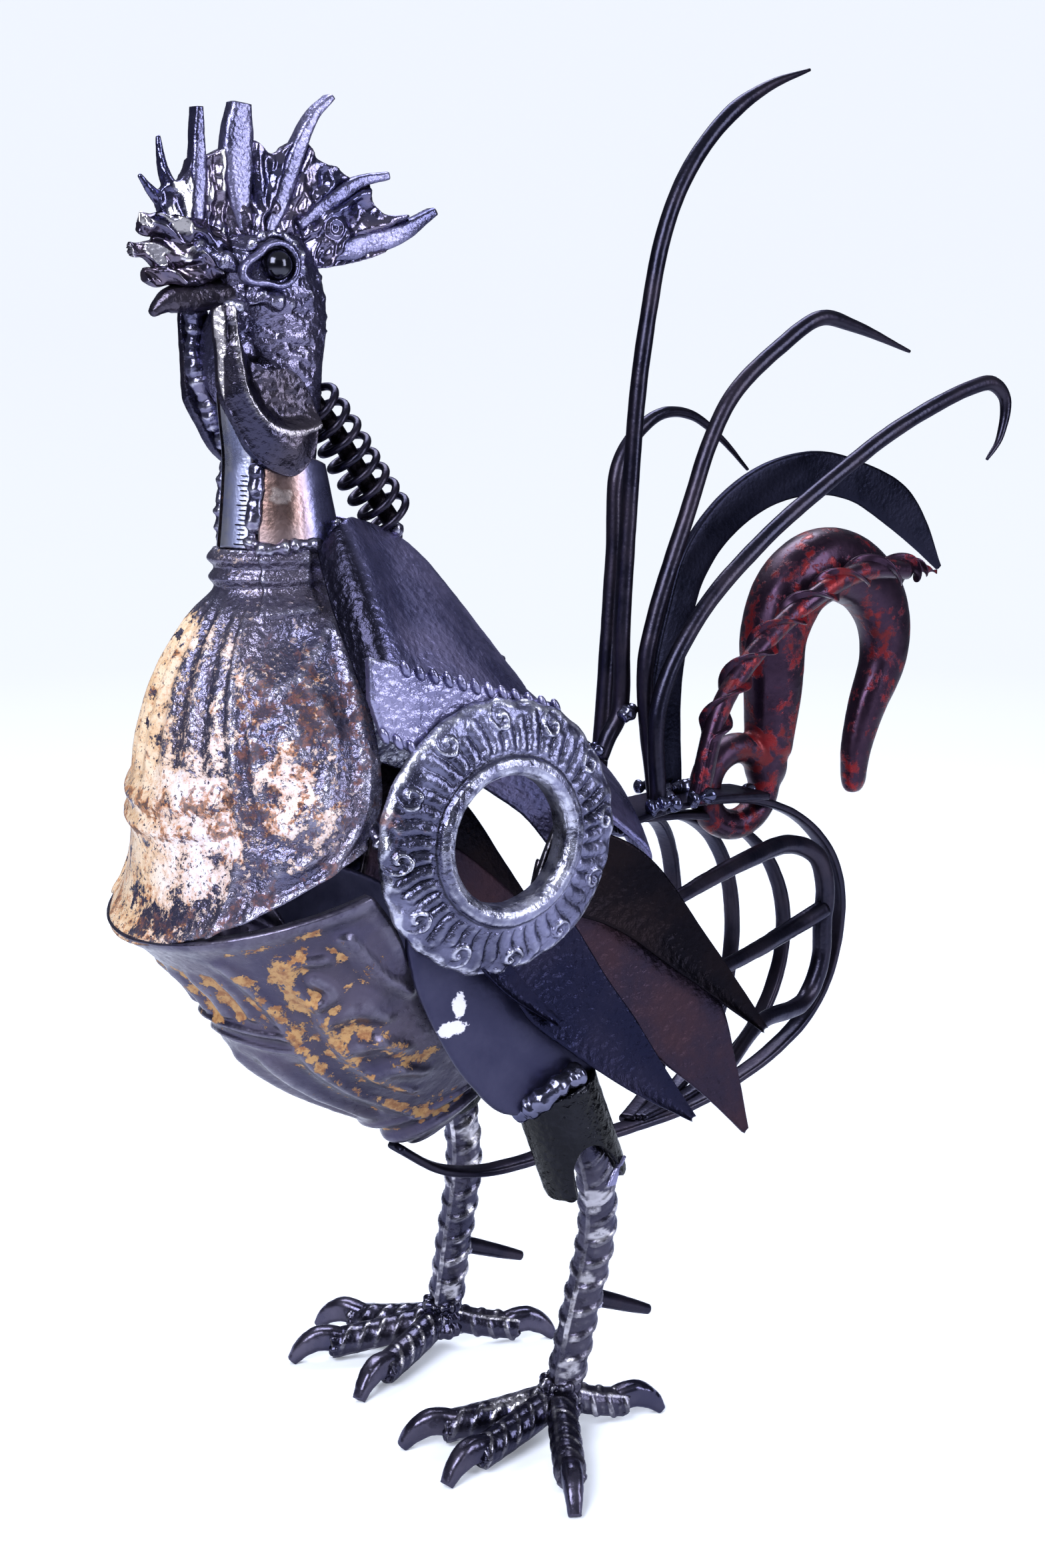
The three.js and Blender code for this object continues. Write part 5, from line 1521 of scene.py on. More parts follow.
def roughened(piece):
    """Deep pits and cracks over the lower cheek, where the block was left as cast."""
    points = vertex_places(piece)
    _, y, z = points.T
    cheek = step(z, 414, 424) * fall(z, 450, 456) * step(np.abs(y), 5, 9)
    coarse = cloudy(points, (5.5, 5.5, 3.6), 2.3)
    fine = cloudy(points, (2.0, 2.0, 1.5), 7.1)
    pits = np.minimum(coarse * 2.2 + fine * 0.9 + 0.15, 0.25)
    points[:, 1] += np.sign(y) * cheek * np.maximum(pits, -1.5)
    move_to(piece, points)
    return piece


def smooth_rings(rings, count):
    """More rings on smooth curves through the given ones."""
    rings = np.asarray(rings, float)
    columns = [smooth(rings[:, k], np.linspace(0, 1, count)) for k in range(rings.shape[1])]
    return np.stack(columns, axis=1)


def teardrop(name, side):
    """Rod bent round the eye, drawn to a point in front."""
    turn = full_turn(96)
    stretch = 1 + 0.85 * np.maximum(0, np.cos(turn - math.radians(195))) ** 9
    size = 7.6 * stretch
    level = np.full(96, side * (EYE[1] + 0.4))
    path = np.column_stack([EYE[0] + size * np.cos(turn), level, EYE[2] + size * np.sin(turn) * 0.95])
    along = unit(np.roll(path, -1, axis=0) - np.roll(path, 1, axis=0))
    out = np.cross(along, ACROSS)
    ring = full_turn(20)
    flat = np.sign(np.sin(ring)) * np.abs(np.sin(ring)) ** 0.6
    rings = path[:, None] + out[:, None] * (1.25 * np.cos(ring))[None, :, None]
    rings = rings + np.asarray(ACROSS) * (2.2 * flat)[None, :, None]
    return lofted(name, rings, closed=True)


def wattle(name, side):
    """Scooped plate: bright bevel in front, a hollow behind its curved lip and a lobe below."""
    shift = np.array([0.0, 0.0]) if side == LEFT else np.array([4.0, -1.0])
    outline = [tuple(np.array(p) + shift) for p in WATTLE]
    body = fused(plate(name, rounded(outline, 120), side * 20, 9.0), 0.78, 3)
    points = vertex_places(body)
    lip = smooth([np.array(p) + shift for p in WATTLE_LIP], np.linspace(0, 1, 60))
    apart, sign = line_distance(points[:, 0], points[:, 2], lip)
    edge, _ = line_distance(points[:, 0], points[:, 2], outline + outline[:1])
    outward = np.clip((points[:, 1] * side - 20) / 4.5, 0, 1)
    inside = np.where(sign > 0, step(apart, 0.8, 7.0), 0)
    lobe = np.where(sign < 0, 4.2 * fall(edge, 0.0, 9.0), 0)
    pebbles = 1.1 * cloudy(points, (2.6, 2.6, 2.2), 4.0 + side)
    points[:, 1] -= side * outward * (inside * (4.6 + pebbles) + lobe)
    bevel = (-0.75, side * 0.66, 0.0)
    limit = unit(bevel) @ np.array([-125.0 + shift[0], side * 22.2, 0.0])
    ground = ground_flat(points, (points[:, 2] > 398) & (edge < 4.5) & (sign < 0), bevel, limit)
    ground = ground * (0.35 + 0.65 * step(points[:, 2], 406, 418))
    rim = np.where(sign > 0, fall(apart, 0.8, 2.2), 0) * outward
    move_to(body, points)
    marked(body, "ground", np.maximum(ground, 0.25 * rim))
    return forge(body, "wattle_steel", 0.25, 6.0, 0.1, 1.6, 8, 4.0 + side)


# Prongs of the brow: path in x and z, half heights and half thicknesses from root to tip
BROW_PRONGS = [
    ([(-124, 470), (-137, 472.5), (-147, 474)], [6, 5.4, 3.2], [10, 7, 3.0]),
    ([(-122, 464), (-140, 464), (-151, 466)], [6, 5.0, 1.8], [11, 8, 3.0]),
    ([(-121, 458), (-135, 457), (-145.5, 456)], [5, 4.4, 2.4], [11, 8, 3.4]),
]
# Flats ground on the brow: a point on each, its direction on the left side, and its lowest and highest z
BROW_FLATS = [
    ((-134, 6.2, 463), (-0.5, 0.86, 0.0), 460, 469), ((-142, 5.0, 474), (-0.25, 0.95, 0.2), 469.5, 480),
    ((-138, 5.8, 457), (-0.45, 0.87, -0.2), 440, 459.5), ((-124, 8.6, 468), (-0.3, 0.9, 0.3), 461, 478),
]


def brow(name):
    """Three prongs in a lump of weld metal, ground to bright ragged flats with dark gaps between them."""
    body = blob(name, (-122, 0, 465), (9, 12, 9.5))
    prongs = []
    for path, high, wide in BROW_PRONGS:
        prongs.append(bar("prong", upright(0, path), wide, high, ACROSS, 28, 50, 2.4))
    whole = fused(joined(name, [body, *prongs]), 0.62, 1)
    points = vertex_places(whole)
    slanted = points @ np.array([[0.8, 0.0, 0.6], [0.0, 1.0, 0.0], [-0.6, 0.0, 0.8]])
    lumpy = 3.4 * cloudy(slanted, (12, 12, 3.4), 6.0) + 1.3 * cloudy(slanted, (6, 6, 1.8), 1.2) - 0.6
    points[:, 1] += np.sign(points[:, 1]) * lumpy * step(np.abs(points[:, 1]), 0.5, 4)
    points[:, 2] += 1.6 * cloudy(points, (5, 9, 9), 2.2)
    ragged = cloudy(slanted, (9, 9, 3.2), 4.4) > 0.04
    ground = np.zeros(len(points), bool)
    for centre, way, low, high in BROW_FLATS:
        near = ragged & (points[:, 2] > low) & (points[:, 2] < high)
        for side in (LEFT, RIGHT):
            normal = unit((way[0], side * way[1], way[2]))
            limit = normal @ np.array([centre[0], side * centre[1], centre[2]]) + 1.9
            ground |= ground_flat(points, near, normal, limit)
    move_to(whole, points)
    marked(whole, "ground", 1.0 * ground)
    return forge(whole, "brow_melt", 0.2, 5.0, 0.08, 1.5, 10, 6.0)


def beak(name):
    path = upright(0, [(-106, 450), (-118, 450.5), (-128, 449.5), (-137, 448), (-143, 444)])
    high = [3.8, 4.4, 5.0, 5.2, 4.4, 1.4]
    wide = [10, 9, 8, 6.5, 4.6, 1.8]
    body = bar(name, path, wide, high, ACROSS, 28, 70, 2.6)
    return forge(body, "wattle_steel", 0.5, 6.0, 0.15, 1.8, 8, 8.0)


# Comb
def comb_spike(name, path, widths, thick):
    """Forged spike with its flats ground bright."""
    body = bar(name, upright(0, path), thick, widths, ACROSS, 32, 70, 3.6)
    points = vertex_places(body)
    points[:, 1] += 0.35 * cloudy(points, (7, 7, 7), 1.5) * np.sign(points[:, 1])
    move_to(body, points)
    return forge(body, "ground_steel", 0.25, 6.0, 0.05, 1.5, 8, 9.0)


def melted(points):
    """How far the web's weld metal stands out: ridges that run out from the head, and one ringed puddle."""
    x, _, z = points.T
    turn = np.arctan2(z - COMB_HEART[1], x - COMB_HEART[0]) * 45
    out = np.hypot(x - COMB_HEART[0], z - COMB_HEART[1])
    polar = np.column_stack([turn, out, np.sign(points[:, 1]) * 20])
    ridges = 3.4 * cloudy(polar, (6.5, 13, 10), 0.4) + 1.6 * cloudy(polar, (3.0, 4.5, 10), 3.7)
    sunk = step(out, 40, 50)
    for path, widths, _ in COMB_SPIKES.values():
        apart, _ = line_distance(x, z, path)
        edge = max(widths) + 0.6
        ridges = ridges + 1.5 * swell(apart, edge + 0.4, 1.5)
        ridges = ridges - 2.2 * sunk * fall(apart, edge - 2.4, edge - 0.6)
    apart = np.hypot(x - COMB_PUDDLE[0], z - COMB_PUDDLE[1])
    puddle = fall(apart, 4.2, 6.0)
    return ridges * (1 - puddle) + puddle * (1.6 + 0.6 * np.cos(apart * 2.2))


def comb_web(name):
    """Thick web of weld metal that has run between the spikes, ground on its high spots, with two nails."""
    body = plate(name, rounded(COMB_WEB, 220), 0, 5.6)
    nails = []
    for path, size in COMB_NAILS:
        nails.append(bar("nail", upright(0, path), [size, size * 0.8, size * 0.55, 0.9], sides=14, steps=30))
    whole = fused(joined(name, [body, *nails]), 0.64, 2)
    points = vertex_places(whole)
    face = step(np.abs(points[:, 1]), 0.8, 2.4) * np.sign(points[:, 1])
    points[:, 1] += face * melted(points)
    front = points[:, 0] < COMB_GROUND_BACK
    ground = np.zeros(len(points), bool)
    for side in (LEFT, RIGHT):
        ground |= ground_flat(points, front, (0, side, 0), COMB_GROUND)
        ground_flat(points, ~front, (0, side, 0), COMB_GROUND + 1.2)
    move_to(whole, points)
    marked(whole, "ground", 0.9 * ground)
    return forge(whole, "comb_melt", 0.3, 4.0, 0.1, 1.3, 8, 10.0)


# Tail
def tine(name, path, root_y, tip_y, drawn):
    sway = np.linspace(root_y, tip_y, len(path))
    points = [(x, y, z) for (x, z), y in zip(path, sway)]
    taper = lambda t: TINE - 0.4 * t - (TINE - 1.1) * np.clip((t - drawn) / (1 - drawn), 0, 1) ** 1.2
    body = bar(name, points, taper, sides=18, steps=180)
    return forge(body, "dark_bar", 0.25, 14.0, 0.04, 2.4, 12, root_y)


def sickle(name):
    rows = np.linspace(0, 1, 141)
    outer = smooth(upright(4, SICKLE_OUTER), rows)
    inner = smooth(upright(4, SICKLE_INNER), rows)
    share = np.array([0, 0.02, 0.08, 0.2, 0.36, 0.52, 0.68, 0.84, 0.96, 1.0])
    half = np.array([0.9, 1.9, 2.1, 2.0, 1.8, 1.6, 1.4, 1.1, 0.5, 0.2])
    middle = outer[:, None] + (inner - outer)[:, None] * share[None, :, None]
    near = middle - np.asarray(ACROSS) * half[None, :, None]
    far = middle + np.asarray(ACROSS) * half[None, :, None]
    blade = lofted(name, np.concatenate([near, far[:, ::-1]], axis=1))
    return forge(blade, "blade_iron", 0.2, 9.0, 0.05, 2.0, 10)


def crane_hook(name):
    radii = [r * 0.82 for r in HOOK_RADII]
    body = bar(name, upright(HOOK_Y, HOOK_PATH), radii, [r * 1.2 for r in radii], ACROSS, 36, 120, 2.3)
    tip = blob("tip", (202, HOOK_Y, 236), (5.8, 4.8, 5.0))
    heel = blob("heel", (149, HOOK_Y, 251), (10.5, 8.6, 13))
    turn = full_turn(60)
    out = np.stack([np.cos(turn), 0 * turn, np.sin(turn)], -1)
    ring = full_turn(24)
    rings = np.array([131.0, HOOK_Y, 243.0]) + out[:, None] * (17 + 6.8 * np.cos(ring))[None, :, None]
    rings = rings + np.asarray(ACROSS) * (7.4 * np.sin(ring))[None, :, None]
    eye = lofted("hook_eye", rings, closed=True)
    whole = fused(joined(name, [body, tip, heel, eye]), 1.4, 6)
    return forge(whole, "red_paint", 0.35, 14.0, 0.06, 2.4, 14)


def auger(name):
    """Twist bit: a ribbon with thick rims wound on its own axis, a round shank and a screw point."""
    steps = 320
    shank_end, point_start = 0.16, 0.9
    centre = even_path(upright(-16, AUGER_PATH), steps)
    side, up = frames_along(centre, ACROSS)
    share = np.linspace(0, 1, steps + 1)
    spin = np.maximum(0, share - shank_end) * 4.5 * 2 * math.pi
    spin = spin + np.maximum(0, share - point_start) * 60
    fade = step(share, shank_end - 0.02, shank_end + 0.03)
    tip = 1 - 0.86 * step(share, point_start - 0.01, 1.0)
    wide = (4.0 + 3.3 * fade) * tip
    thin = (4.0 - 2.7 * fade) * tip
    turn = full_turn(28)
    a = np.sign(np.cos(turn)) * np.abs(np.cos(turn)) ** 0.8
    b = np.sin(turn) * (1 + 0.9 * np.abs(np.cos(turn)) ** 6)
    c, s = np.cos(spin)[:, None], np.sin(spin)[:, None]
    p = wide[:, None] * a * c - thin[:, None] * b * s
    q = wide[:, None] * a * s + thin[:, None] * b * c
    rings = centre[:, None] + side[:, None] * p[..., None] + up[:, None] * q[..., None]
    core = bar("core", centre[: int(steps * point_start)], 4.3, sides=16, steps=100)
    return forge(joined(name, [lofted(name, rings), core]), "red_paint", 0.15, 5.0, 0.05, 1.5, 14, 3.0)


def hoop_path(degrees, inset):
    lean = math.radians(degrees)
    turn = np.radians(4 + 172 * np.arange(11) / 10)
    out = np.sin(turn)
    x = CAGE_FRONT + (CAGE_REACH - inset) * out ** 0.8 * math.cos(lean)
    y = CAGE_HALF_WIDTH * out * math.sin(lean)
    return np.column_stack([x, y, CAGE_Z + CAGE_HALF_HEIGHT * np.cos(turn)])


def side_hoops(name):
    hoops = []
    for degrees, inset in ((18, 9), (38, 8), (56, 7)):
        lean = math.radians(degrees)
        across = (-0.4 * math.sin(lean), math.cos(lean), 0.0)
        hoops.append(bar("hoop", hoop_path(degrees, inset), 3.75, 1.9, across, 18, 120, 3.5))
    return forge(joined(name, hoops), "dark_bar", 0.35, 12.0, 0.08, 2.0, 10)


def fork(name):
    frame_bar = bar("fork_frame", FORK_FRAME, lambda t: 2.7 + 1.6 * np.sin(math.pi * t), sides=18, steps=180)
    middle = bar("fork_middle", FORK_MIDDLE, lambda t: 2.7 + 1.6 * t, sides=18, steps=80)
    return forge(joined(name, [frame_bar, middle]), "dark_bar", 0.35, 9.0, 0.08, 2.0, 10)


# Weld seams of the body, in bird millimetres
def both(radius, *lines):
    """Weld runs of one radius, each on the left flank and again on the right."""
    return [(on_side(side, line), radius) for line in lines for side in (LEFT, RIGHT)]


def neck_seams():
    turn = np.radians(np.linspace(14, 134, 24))
    collar = [(NECK_X + 20.5 * math.cos(a), 20.5 * math.sin(a), 363 + 0.8 * math.sin(5 * a)) for a in turn]
    rule = [(-113, 11, 363), (-112.5, 12.5, 372), (-111.5, 13, 382), (-110.5, 12.5, 391)]
    runs = both(2.5, collar, rule)
    runs += both(3.4, [(-87, 21, 357), (-86.5, 24, 352)])
    runs += both(2.2, [(-84, 22, 371), (-86, 23, 364), (-87, 22, 358)])
    runs.append(([(-49, -5, 366), (-46, 0, 364), (-44, 5, 361)], 3.2))
    runs.append(([(-83, -5, 416), (-82, 0, 418), (-83, 5, 416)], 3.0))
    inside = [(-120, 13, 444), (-121, 13.5, 430), (-118, 13, 417), (-113, 13, 406), (-108, 12.5, 398)]
    return runs + both(3.6, inside)


def body_seams():
    runs = both(3.2, [(-91, 57, 321), (-89.5, 60, 317)])
    runs += both(3.0, [(-93, 58, 267), (-92, 62, 262)])
    return runs + [([(-3, 0, 313), (0, 0, 310)], 3.0)]


def socket_seams():
    """Thick smooth bead over the front shoulder of each socket."""
    bead = [(-27, 55, 147), (-24.5, 60, 150), (-20, 63, 154), (-14, 63.5, 157.5), (-6, 62, 159)]
    return both(4.4, bead)


def tail_seams():
    roots = [
        [(61, -22, 248), (66, -25, 250), (73, -22, 248)], [(70, -13, 248), (76, -14, 249), (79, -9, 248)],
        [(55, 10, 247), (60, 18, 247), (66, 18, 247)], [(80, 0, 248), (90, 0, 249), (99, 1, 248)],
        [(82, 13, 248), (92, 13, 248), (99, 12, 247)], [(85, -20, 248), (92, -21, 249), (96, -14, 248)],
        [(47, -4, 270), (49, 0, 271), (47, 4, 270)], [(60, -4, 283), (65, -4, 286)],
        [(118, 2, 243), (126, 0, 242), (134, 2, 241)], [(56, -3, 236), (62, -6, 237), (67, -2, 238)],
        [(60, 4, 236), (66, 6, 236)], [(160, -10, 214), (168, -8, 206), (176, -4, 204)],
    ]
    return [(line, 3.0) for line in roots]


# Settings a user would change
class RoosterSizes(bpy.types.PropertyGroup):
    """Sizes of what repeats on the bird"""

    leg_rib: bpy.props.FloatProperty(
        name="Leg rib", description="Height of the ribs on the leg bars", default=1.1 * MM, unit="LENGTH")
    leg_pitch: bpy.props.FloatProperty(
        name="Leg rib pitch", description="Distance between leg ribs", default=10.0 * MM, unit="LENGTH")
    toe_rib: bpy.props.FloatProperty(
        name="Toe rib", description="Height of the ribs on the toe bars", default=0.8 * MM, unit="LENGTH")
    toe_pitch: bpy.props.FloatProperty(
        name="Toe rib pitch", description="Distance between toe ribs", default=7.8 * MM, unit="LENGTH")
    ring_flutes: bpy.props.IntProperty(
        name="Ring flutes", description="Flutes round each shoulder ring", default=42, min=12, max=96)
    spring_turns: bpy.props.FloatProperty(
        name="Spring turns", description="Turns of the neck spring", default=8.0, min=1.0)
    spring_wire: bpy.props.FloatProperty(
        name="Spring wire", description="Radius of the neck spring's wire", default=1.5 * MM, unit="LENGTH")


class RoosterFinish(bpy.types.PropertyGroup):
    """Colours of the paints and the studio"""

    enamel_white: bpy.props.FloatVectorProperty(
        name="Enamel white", description="Cold white enamel", subtype="COLOR", default=(0.68, 0.67, 0.76))
    enamel_cream: bpy.props.FloatVectorProperty(
        name="Enamel cream", description="Yellowed enamel", subtype="COLOR", default=(0.68, 0.52, 0.36))
    ochre: bpy.props.FloatVectorProperty(
        name="Ochre", description="Paint of the lower shell", subtype="COLOR", default=(0.36, 0.2, 0.072))
    red: bpy.props.FloatVectorProperty(
        name="Red", description="Paint of the hook and bit", subtype="COLOR", default=(0.17, 0.008, 0.011))
    floor: bpy.props.FloatVectorProperty(
        name="Floor", description="Studio floor", subtype="COLOR", default=(0.86, 0.885, 0.95))
    light: bpy.props.FloatProperty(
        name="Light", description="Strength of the studio lights", default=1.0, min=0.0)


class LegsOperator(bpy.types.Operator):
    """Ribbed bar legs with spurs, toes with claws, and the weld that joins them"""

    bl_idname = "rooster.legs"
    bl_label = "Legs and feet"

    def execute(self, context):
        for word, side in SIDES:
            keep(leg("leg_bar_" + word, side), "rebar", "leg_" + word)
            for place, (heading, reach) in TOES[side].items():
                name = f"toe_{word}_{place}"
                keep(toe(name + "_bar", side, heading, reach), "rebar", name)
            keep(hub_weld("foot_weld_" + word, side), "rebar")
        return {"FINISHED"}


class SocketsOperator(bpy.types.Operator):
    """Black pipe sockets over the legs"""

    bl_idname = "rooster.sockets"
    bl_label = "Leg sockets"

    def execute(self, context):
        for word, side in SIDES:
            pipe = forge(pipe_socket(side), "black_pipe", 0.3, 6.0, 0.4, 1.7, 12, side)
            if side == LEFT:
                flap = panel("socket_flap", on_side(side, FLAP_TOP), on_side(side, FLAP_LOW), 1.8, 0.4, 8, 12)
                pipe = joined("pipe", [pipe, forge(flap, "pitted_iron", 0.3, 4.0, 0.1, 1.5, 4)])
            pipe.name = "pipe_socket_" + word
            keep(pipe, "dark_iron", "leg_socket_" + word)
        return {"FINISHED"}


class BreastOperator(bpy.types.Operator):
    """Two cast shells: enamelled above, dark with ochre remains below"""

    bl_idname = "rooster.breast"
    bl_label = "Breast shells"

    def execute(self, context):
        upper = breast_shell("breast_shell_upper", UPPER_ROWS, upper_relief, upper_marks, 174, 128)
        keep(forge(upper, "cream_enamel", 0.35, 9.0, 0.1, 2.0, 22), "cream_enamel", "breast_upper")
        lower = breast_shell("breast_shell_lower", LOWER_ROWS, lower_relief, lower_marks, 160, 122)
        keep(forge(lower, "ochre_remains", 0.35, 9.0, 0.08, 2.0, 22, 5.0), "ochre_cast", "breast_lower")
        return {"FINISHED"}


class WingsOperator(bpy.types.Operator):
    """Cast shoulder rings, rope-edged shoulder plates and sheet feathers"""

    bl_idname = "rooster.wings"
    bl_label = "Wings"

    def execute(self, context):
        for word, side in SIDES:
            ring = forge(rosette("rosette_" + word, side), "silver_cast", 0.3, 7.0, 0.14, 1.8, 18, side)
            keep(ring, "grey_cast", "wing_ring_" + word)
            keep(shoulder_plate("shoulder_sheet_" + word, side), "dark_iron", "shoulder_plate_" + word)
            upper = feather("feather_sheet_upper_" + word, side, FEATHER_UPPER)
            keep(forge(upper, "feather_iron", 0.25, 14.0, 0.04), "dark_iron", f"feather_{word}_upper")
            lower = feather("feather_sheet_lower_" + word, side, FEATHER_LOWER)
            if side == LEFT:
                tongue = feather("feather_tongue", side, FEATHER_TONGUE, 3.0)
                lower = joined(lower.name, [lower, tongue])
            keep(forge(lower, "hammered_iron", 0.25, 14.0, 0.05), "dark_iron", f"feather_{word}_lower")
            middle = feather("feather_sheet_middle_" + word, side, FEATHER_MIDDLE, SHEET, 0.4)
            keep(forge(middle, "rust_sheet", 0.25, 14.0, 0.05), "rust_sheet", f"feather_{word}_middle")
        return {"FINISHED"}


class PlatesOperator(bpy.types.Operator):
    """Thigh, back and saddle plates of cut sheet"""

    bl_idname = "rooster.plates"
    bl_label = "Body plates"

    def execute(self, context):
        for word, side in SIDES:
            thigh = fused(plate("thigh_sheet_" + word, rounded(THIGH, 110), side * 57, 3.2), 1.15, 1)
            keep(forge(thigh, "blue_sheet", 0.3, 22.0, 0.03), "pale_sheet", "thigh_plate_" + word)
            back = forge(back_plate("back_sheet_" + word, side), "back_iron", 0.4, 14.0, 0.22, 1.9)
            keep(back, "dark_iron", "back_plate_" + word)
        keep(forge(saddle("saddle_sheet"), "back_iron", 0.4, 14.0, 0.14, 2.0), "dark_iron", "saddle_plate")
        return {"FINISHED"}


class NeckOperator(bpy.types.Operator):
    """Brown neck plates, the folded rule at the throat and the spring behind"""

    bl_idname = "rooster.neck"
    bl_label = "Neck"

    def execute(self, context):
        sizes = context.scene.rooster_sizes
        keep(throat_rule("folded_rule"), "ground_steel", "throat_rule")
        for word, side in SIDES:
            sheet = forge(neck_plate("neck_sheet_" + word, side), "brown_lacquer", 0.2, 12.0, 0.03)
            keep(sheet, "brown_lacquer", "neck_plate_" + word)
        line = trail("coil_spring", [(even_path(upright(0, SPRING_AXIS), 40), 1.0)])
        values = {"Turns": sizes.spring_turns, "Wire": sizes.spring_wire, "Material": finish("dark_bar")}
        keep(run_nodes(line, tree("spring"), values), "rebar", "neck_spring")
        return {"FINISHED"}


class HeadOperator(bpy.types.Operator):
    """Rough cheek block, eyes in bent rings, beak, brow and scooped wattles"""

    bl_idname = "rooster.head"
    bl_label = "Head"

    def execute(self, context):
        keep(skull("cheek_block"), "dark_iron", "skull")
        keep(beak("beak_forging"), "dark_iron", "beak")
        keep(brow("brow_lobes"), "dark_iron", "brow")
        for word, side in SIDES:
            ball = blob("eye_steel_" + word, (EYE[0], side * EYE[1], EYE[2]), (EYE_BALL,) * 3)
            ball.modifiers.new("Round", "SUBSURF").levels = 1
            ball.modifiers["Round"].render_levels = 1
            keep(forge(settle(ball), "polished_ball", 0.0, 9.0, 0.0), "ground_steel", "eye_ball_" + word)
            rod = forge(teardrop("eye_rod_" + word, side), "ground_steel", 0.12, 4.0, 0.04, 2.0, 4)
            keep(rod, "ground_steel", "eye_ring_" + word)
            keep(wattle("wattle_scoop_" + word, side), "ground_steel", "wattle_" + word)
        return {"FINISHED"}


class CombOperator(bpy.types.Operator):
    """Bent comb spikes and the weld metal between them"""

    bl_idname = "rooster.comb"
    bl_label = "Comb"

    def execute(self, context):
        for word, (path, widths, thick) in COMB_SPIKES.items():
            spike = comb_spike("spike_" + word, path, widths, thick)
            keep(spike, "ground_steel", "comb_spike_" + word)
        keep(comb_web("comb_melt"), "ground_steel", "comb_web")
        return {"FINISHED"}


class TailOperator(bpy.types.Operator):
    """Bent tines, sickle blade, hook, twist bit, notched bar and the seat that carries them"""

    bl_idname = "rooster.tail"
    bl_label = "Tail"

    def execute(self, context):
        keep(tine("bent_tine_near", TINE_NEAR, -18, -23, 0.87), "dark_iron", "tine_near")
        keep(tine("bent_tine_tall", TINE_TALL, 0, 0, 0.86), "dark_iron", "tine_tall")
        keep(tine("bent_tine_middle", TINE_BENT, -9, -11, 0.82), "dark_iron", "tine_bent")
        keep(tine("bent_tine_back", TINE_BACK, 14, 21, 0.6), "dark_iron", "tine_back")
        keep(sickle("sickle_blade"), "dark_iron", "sickle")
        keep(crane_hook("hook_forging"), "red_paint", "crane_hook")
        keep(auger("twist_bit"), "red_paint", "auger_bit")
        notched = fused(plate("notched_flat", NOTCHED_BAR, 8.6, 4.0), 0.8, 1)
        keep(forge(notched, "dark_iron", 0.2, 8.0, 0.06), "dark_iron", "notched_bar")
        seat = bar("seat_flat", TAIL_SEAT, 13.0, 1.75, ACROSS, 36, 90, 6.0)
        keep(forge(seat, "dark_bar", 0.3, 10.0, 0.08), "dark_iron", "tail_seat")
        return {"FINISHED"}


class CageOperator(bpy.types.Operator):
    """Keel hoop, side hoops and the bent fork of the hind body"""

    bl_idname = "rooster.cage"
    bl_label = "Hind body"

    def execute(self, context):
        keel = bar("keel_flat", upright(0, KEEL), 4.5, 1.9, ACROSS, 20, 160, 3.5)
        keep(forge(keel, "dark_bar", 0.35, 12.0, 0.08), "dark_iron", "keel_hoop")
        keep(side_hoops("flat_hoops"), "dark_iron", "side_hoops")
        keep(fork("bent_fork"), "dark_iron", "fork")
        return {"FINISHED"}


class WeldsOperator(bpy.types.Operator):
    """Weld runs that hold the neck, the body and the tail together"""

    bl_idname = "rooster.welds"
    bl_label = "Weld runs"

    def execute(self, context):
        keep(weld("weld_neck", neck_seams(), 1.8, 0.35, 41), "ground_steel")
        keep(weld("weld_body", body_seams(), 2.0, 0.35, 43), "ground_steel")
        keep(weld("weld_socket", socket_seams(), 1.6, 0.2, 45, "blue_weld"), "dark_iron")
        keep(weld("weld_tail", tail_seams(), 2.2, 0.4, 47, "blue_weld"), "dark_iron")
        return {"FINISHED"}


# Stage
def studio_floor():
    """Round floor that curves up into its own wall, so that no edge shows from any side."""
    flat, bend, wall = 2.0, 1.0, 1.2
    turn = np.linspace(0, math.pi / 2, 16)
    rise = [(flat + bend * math.sin(t), bend - bend * math.cos(t)) for t in turn]
    profile = [(0.0, 0.0), (flat * 0.5, 0.0), *rise, (flat + bend, bend + wall)]
    around = 64
    points = []
    for radius, z in profile:
        for k in range(around):
            angle = 2 * math.pi * k / around
            points.append((radius * math.cos(angle), radius * math.sin(angle), z))
    mesh = bpy.data.meshes.new("studio_floor")
    mesh.from_pydata(points, [], grid_faces(len(profile), around, wrap_columns=True))
    work = bmesh.new()
    work.from_mesh(mesh)
    bmesh.ops.remove_doubles(work, verts=work.verts[:], dist=1e-5)
    bmesh.ops.recalc_face_normals(work, faces=work.faces[:])
    work.to_mesh(mesh)
    work.free()
    mesh.polygons.foreach_set("use_smooth", [True] * len(mesh.polygons))
    floor = bpy.data.objects.new("studio_floor", mesh)
    bpy.context.scene.collection.objects.link(floor)
    material, n, shader, place = new_material("studio_paper")
    look = bpy.context.scene.rooster_finish
    away = n.rise(n.length(place), 0.5, 1.5)
    seen = n.out("ShaderNodeLightPath", "Is Camera Ray")
    # The floor glows only to the camera. Near the bird the glow is painted light that lifts the floor's
    # shadows; far off it makes a dark floor, which the metal reflects, look white.
    n.fill(shader, {
        "Base Color": n.mix(away, colour(look.floor), colour((0.2, 0.2, 0.24))), "Roughness": 0.8,
        "Specular IOR Level": 0.1, "Emission Strength": n.times(seen, n.line(away, 0.66, 0.2)),
        "Emission Color": colour((0.9, 0.945, 1.0)),
    })
    mesh.materials.append(material)
    return floor


def softbox(name, place, size, power, tone):
    light = bpy.data.lights.new(name, "AREA")
    light.shape = "RECTANGLE"
    light.size, light.size_y = size
    light.energy = power * bpy.context.scene.rooster_finish.light
    light.color = tone
    lamp = bpy.data.objects.new(name, light)
    lamp.location = place
    target = Vector((-0.05, 0.0, 0.26))
    lamp.rotation_euler = (target - Vector(place)).to_track_quat("-Z", "Y").to_euler()
    bpy.context.scene.collection.objects.link(lamp)


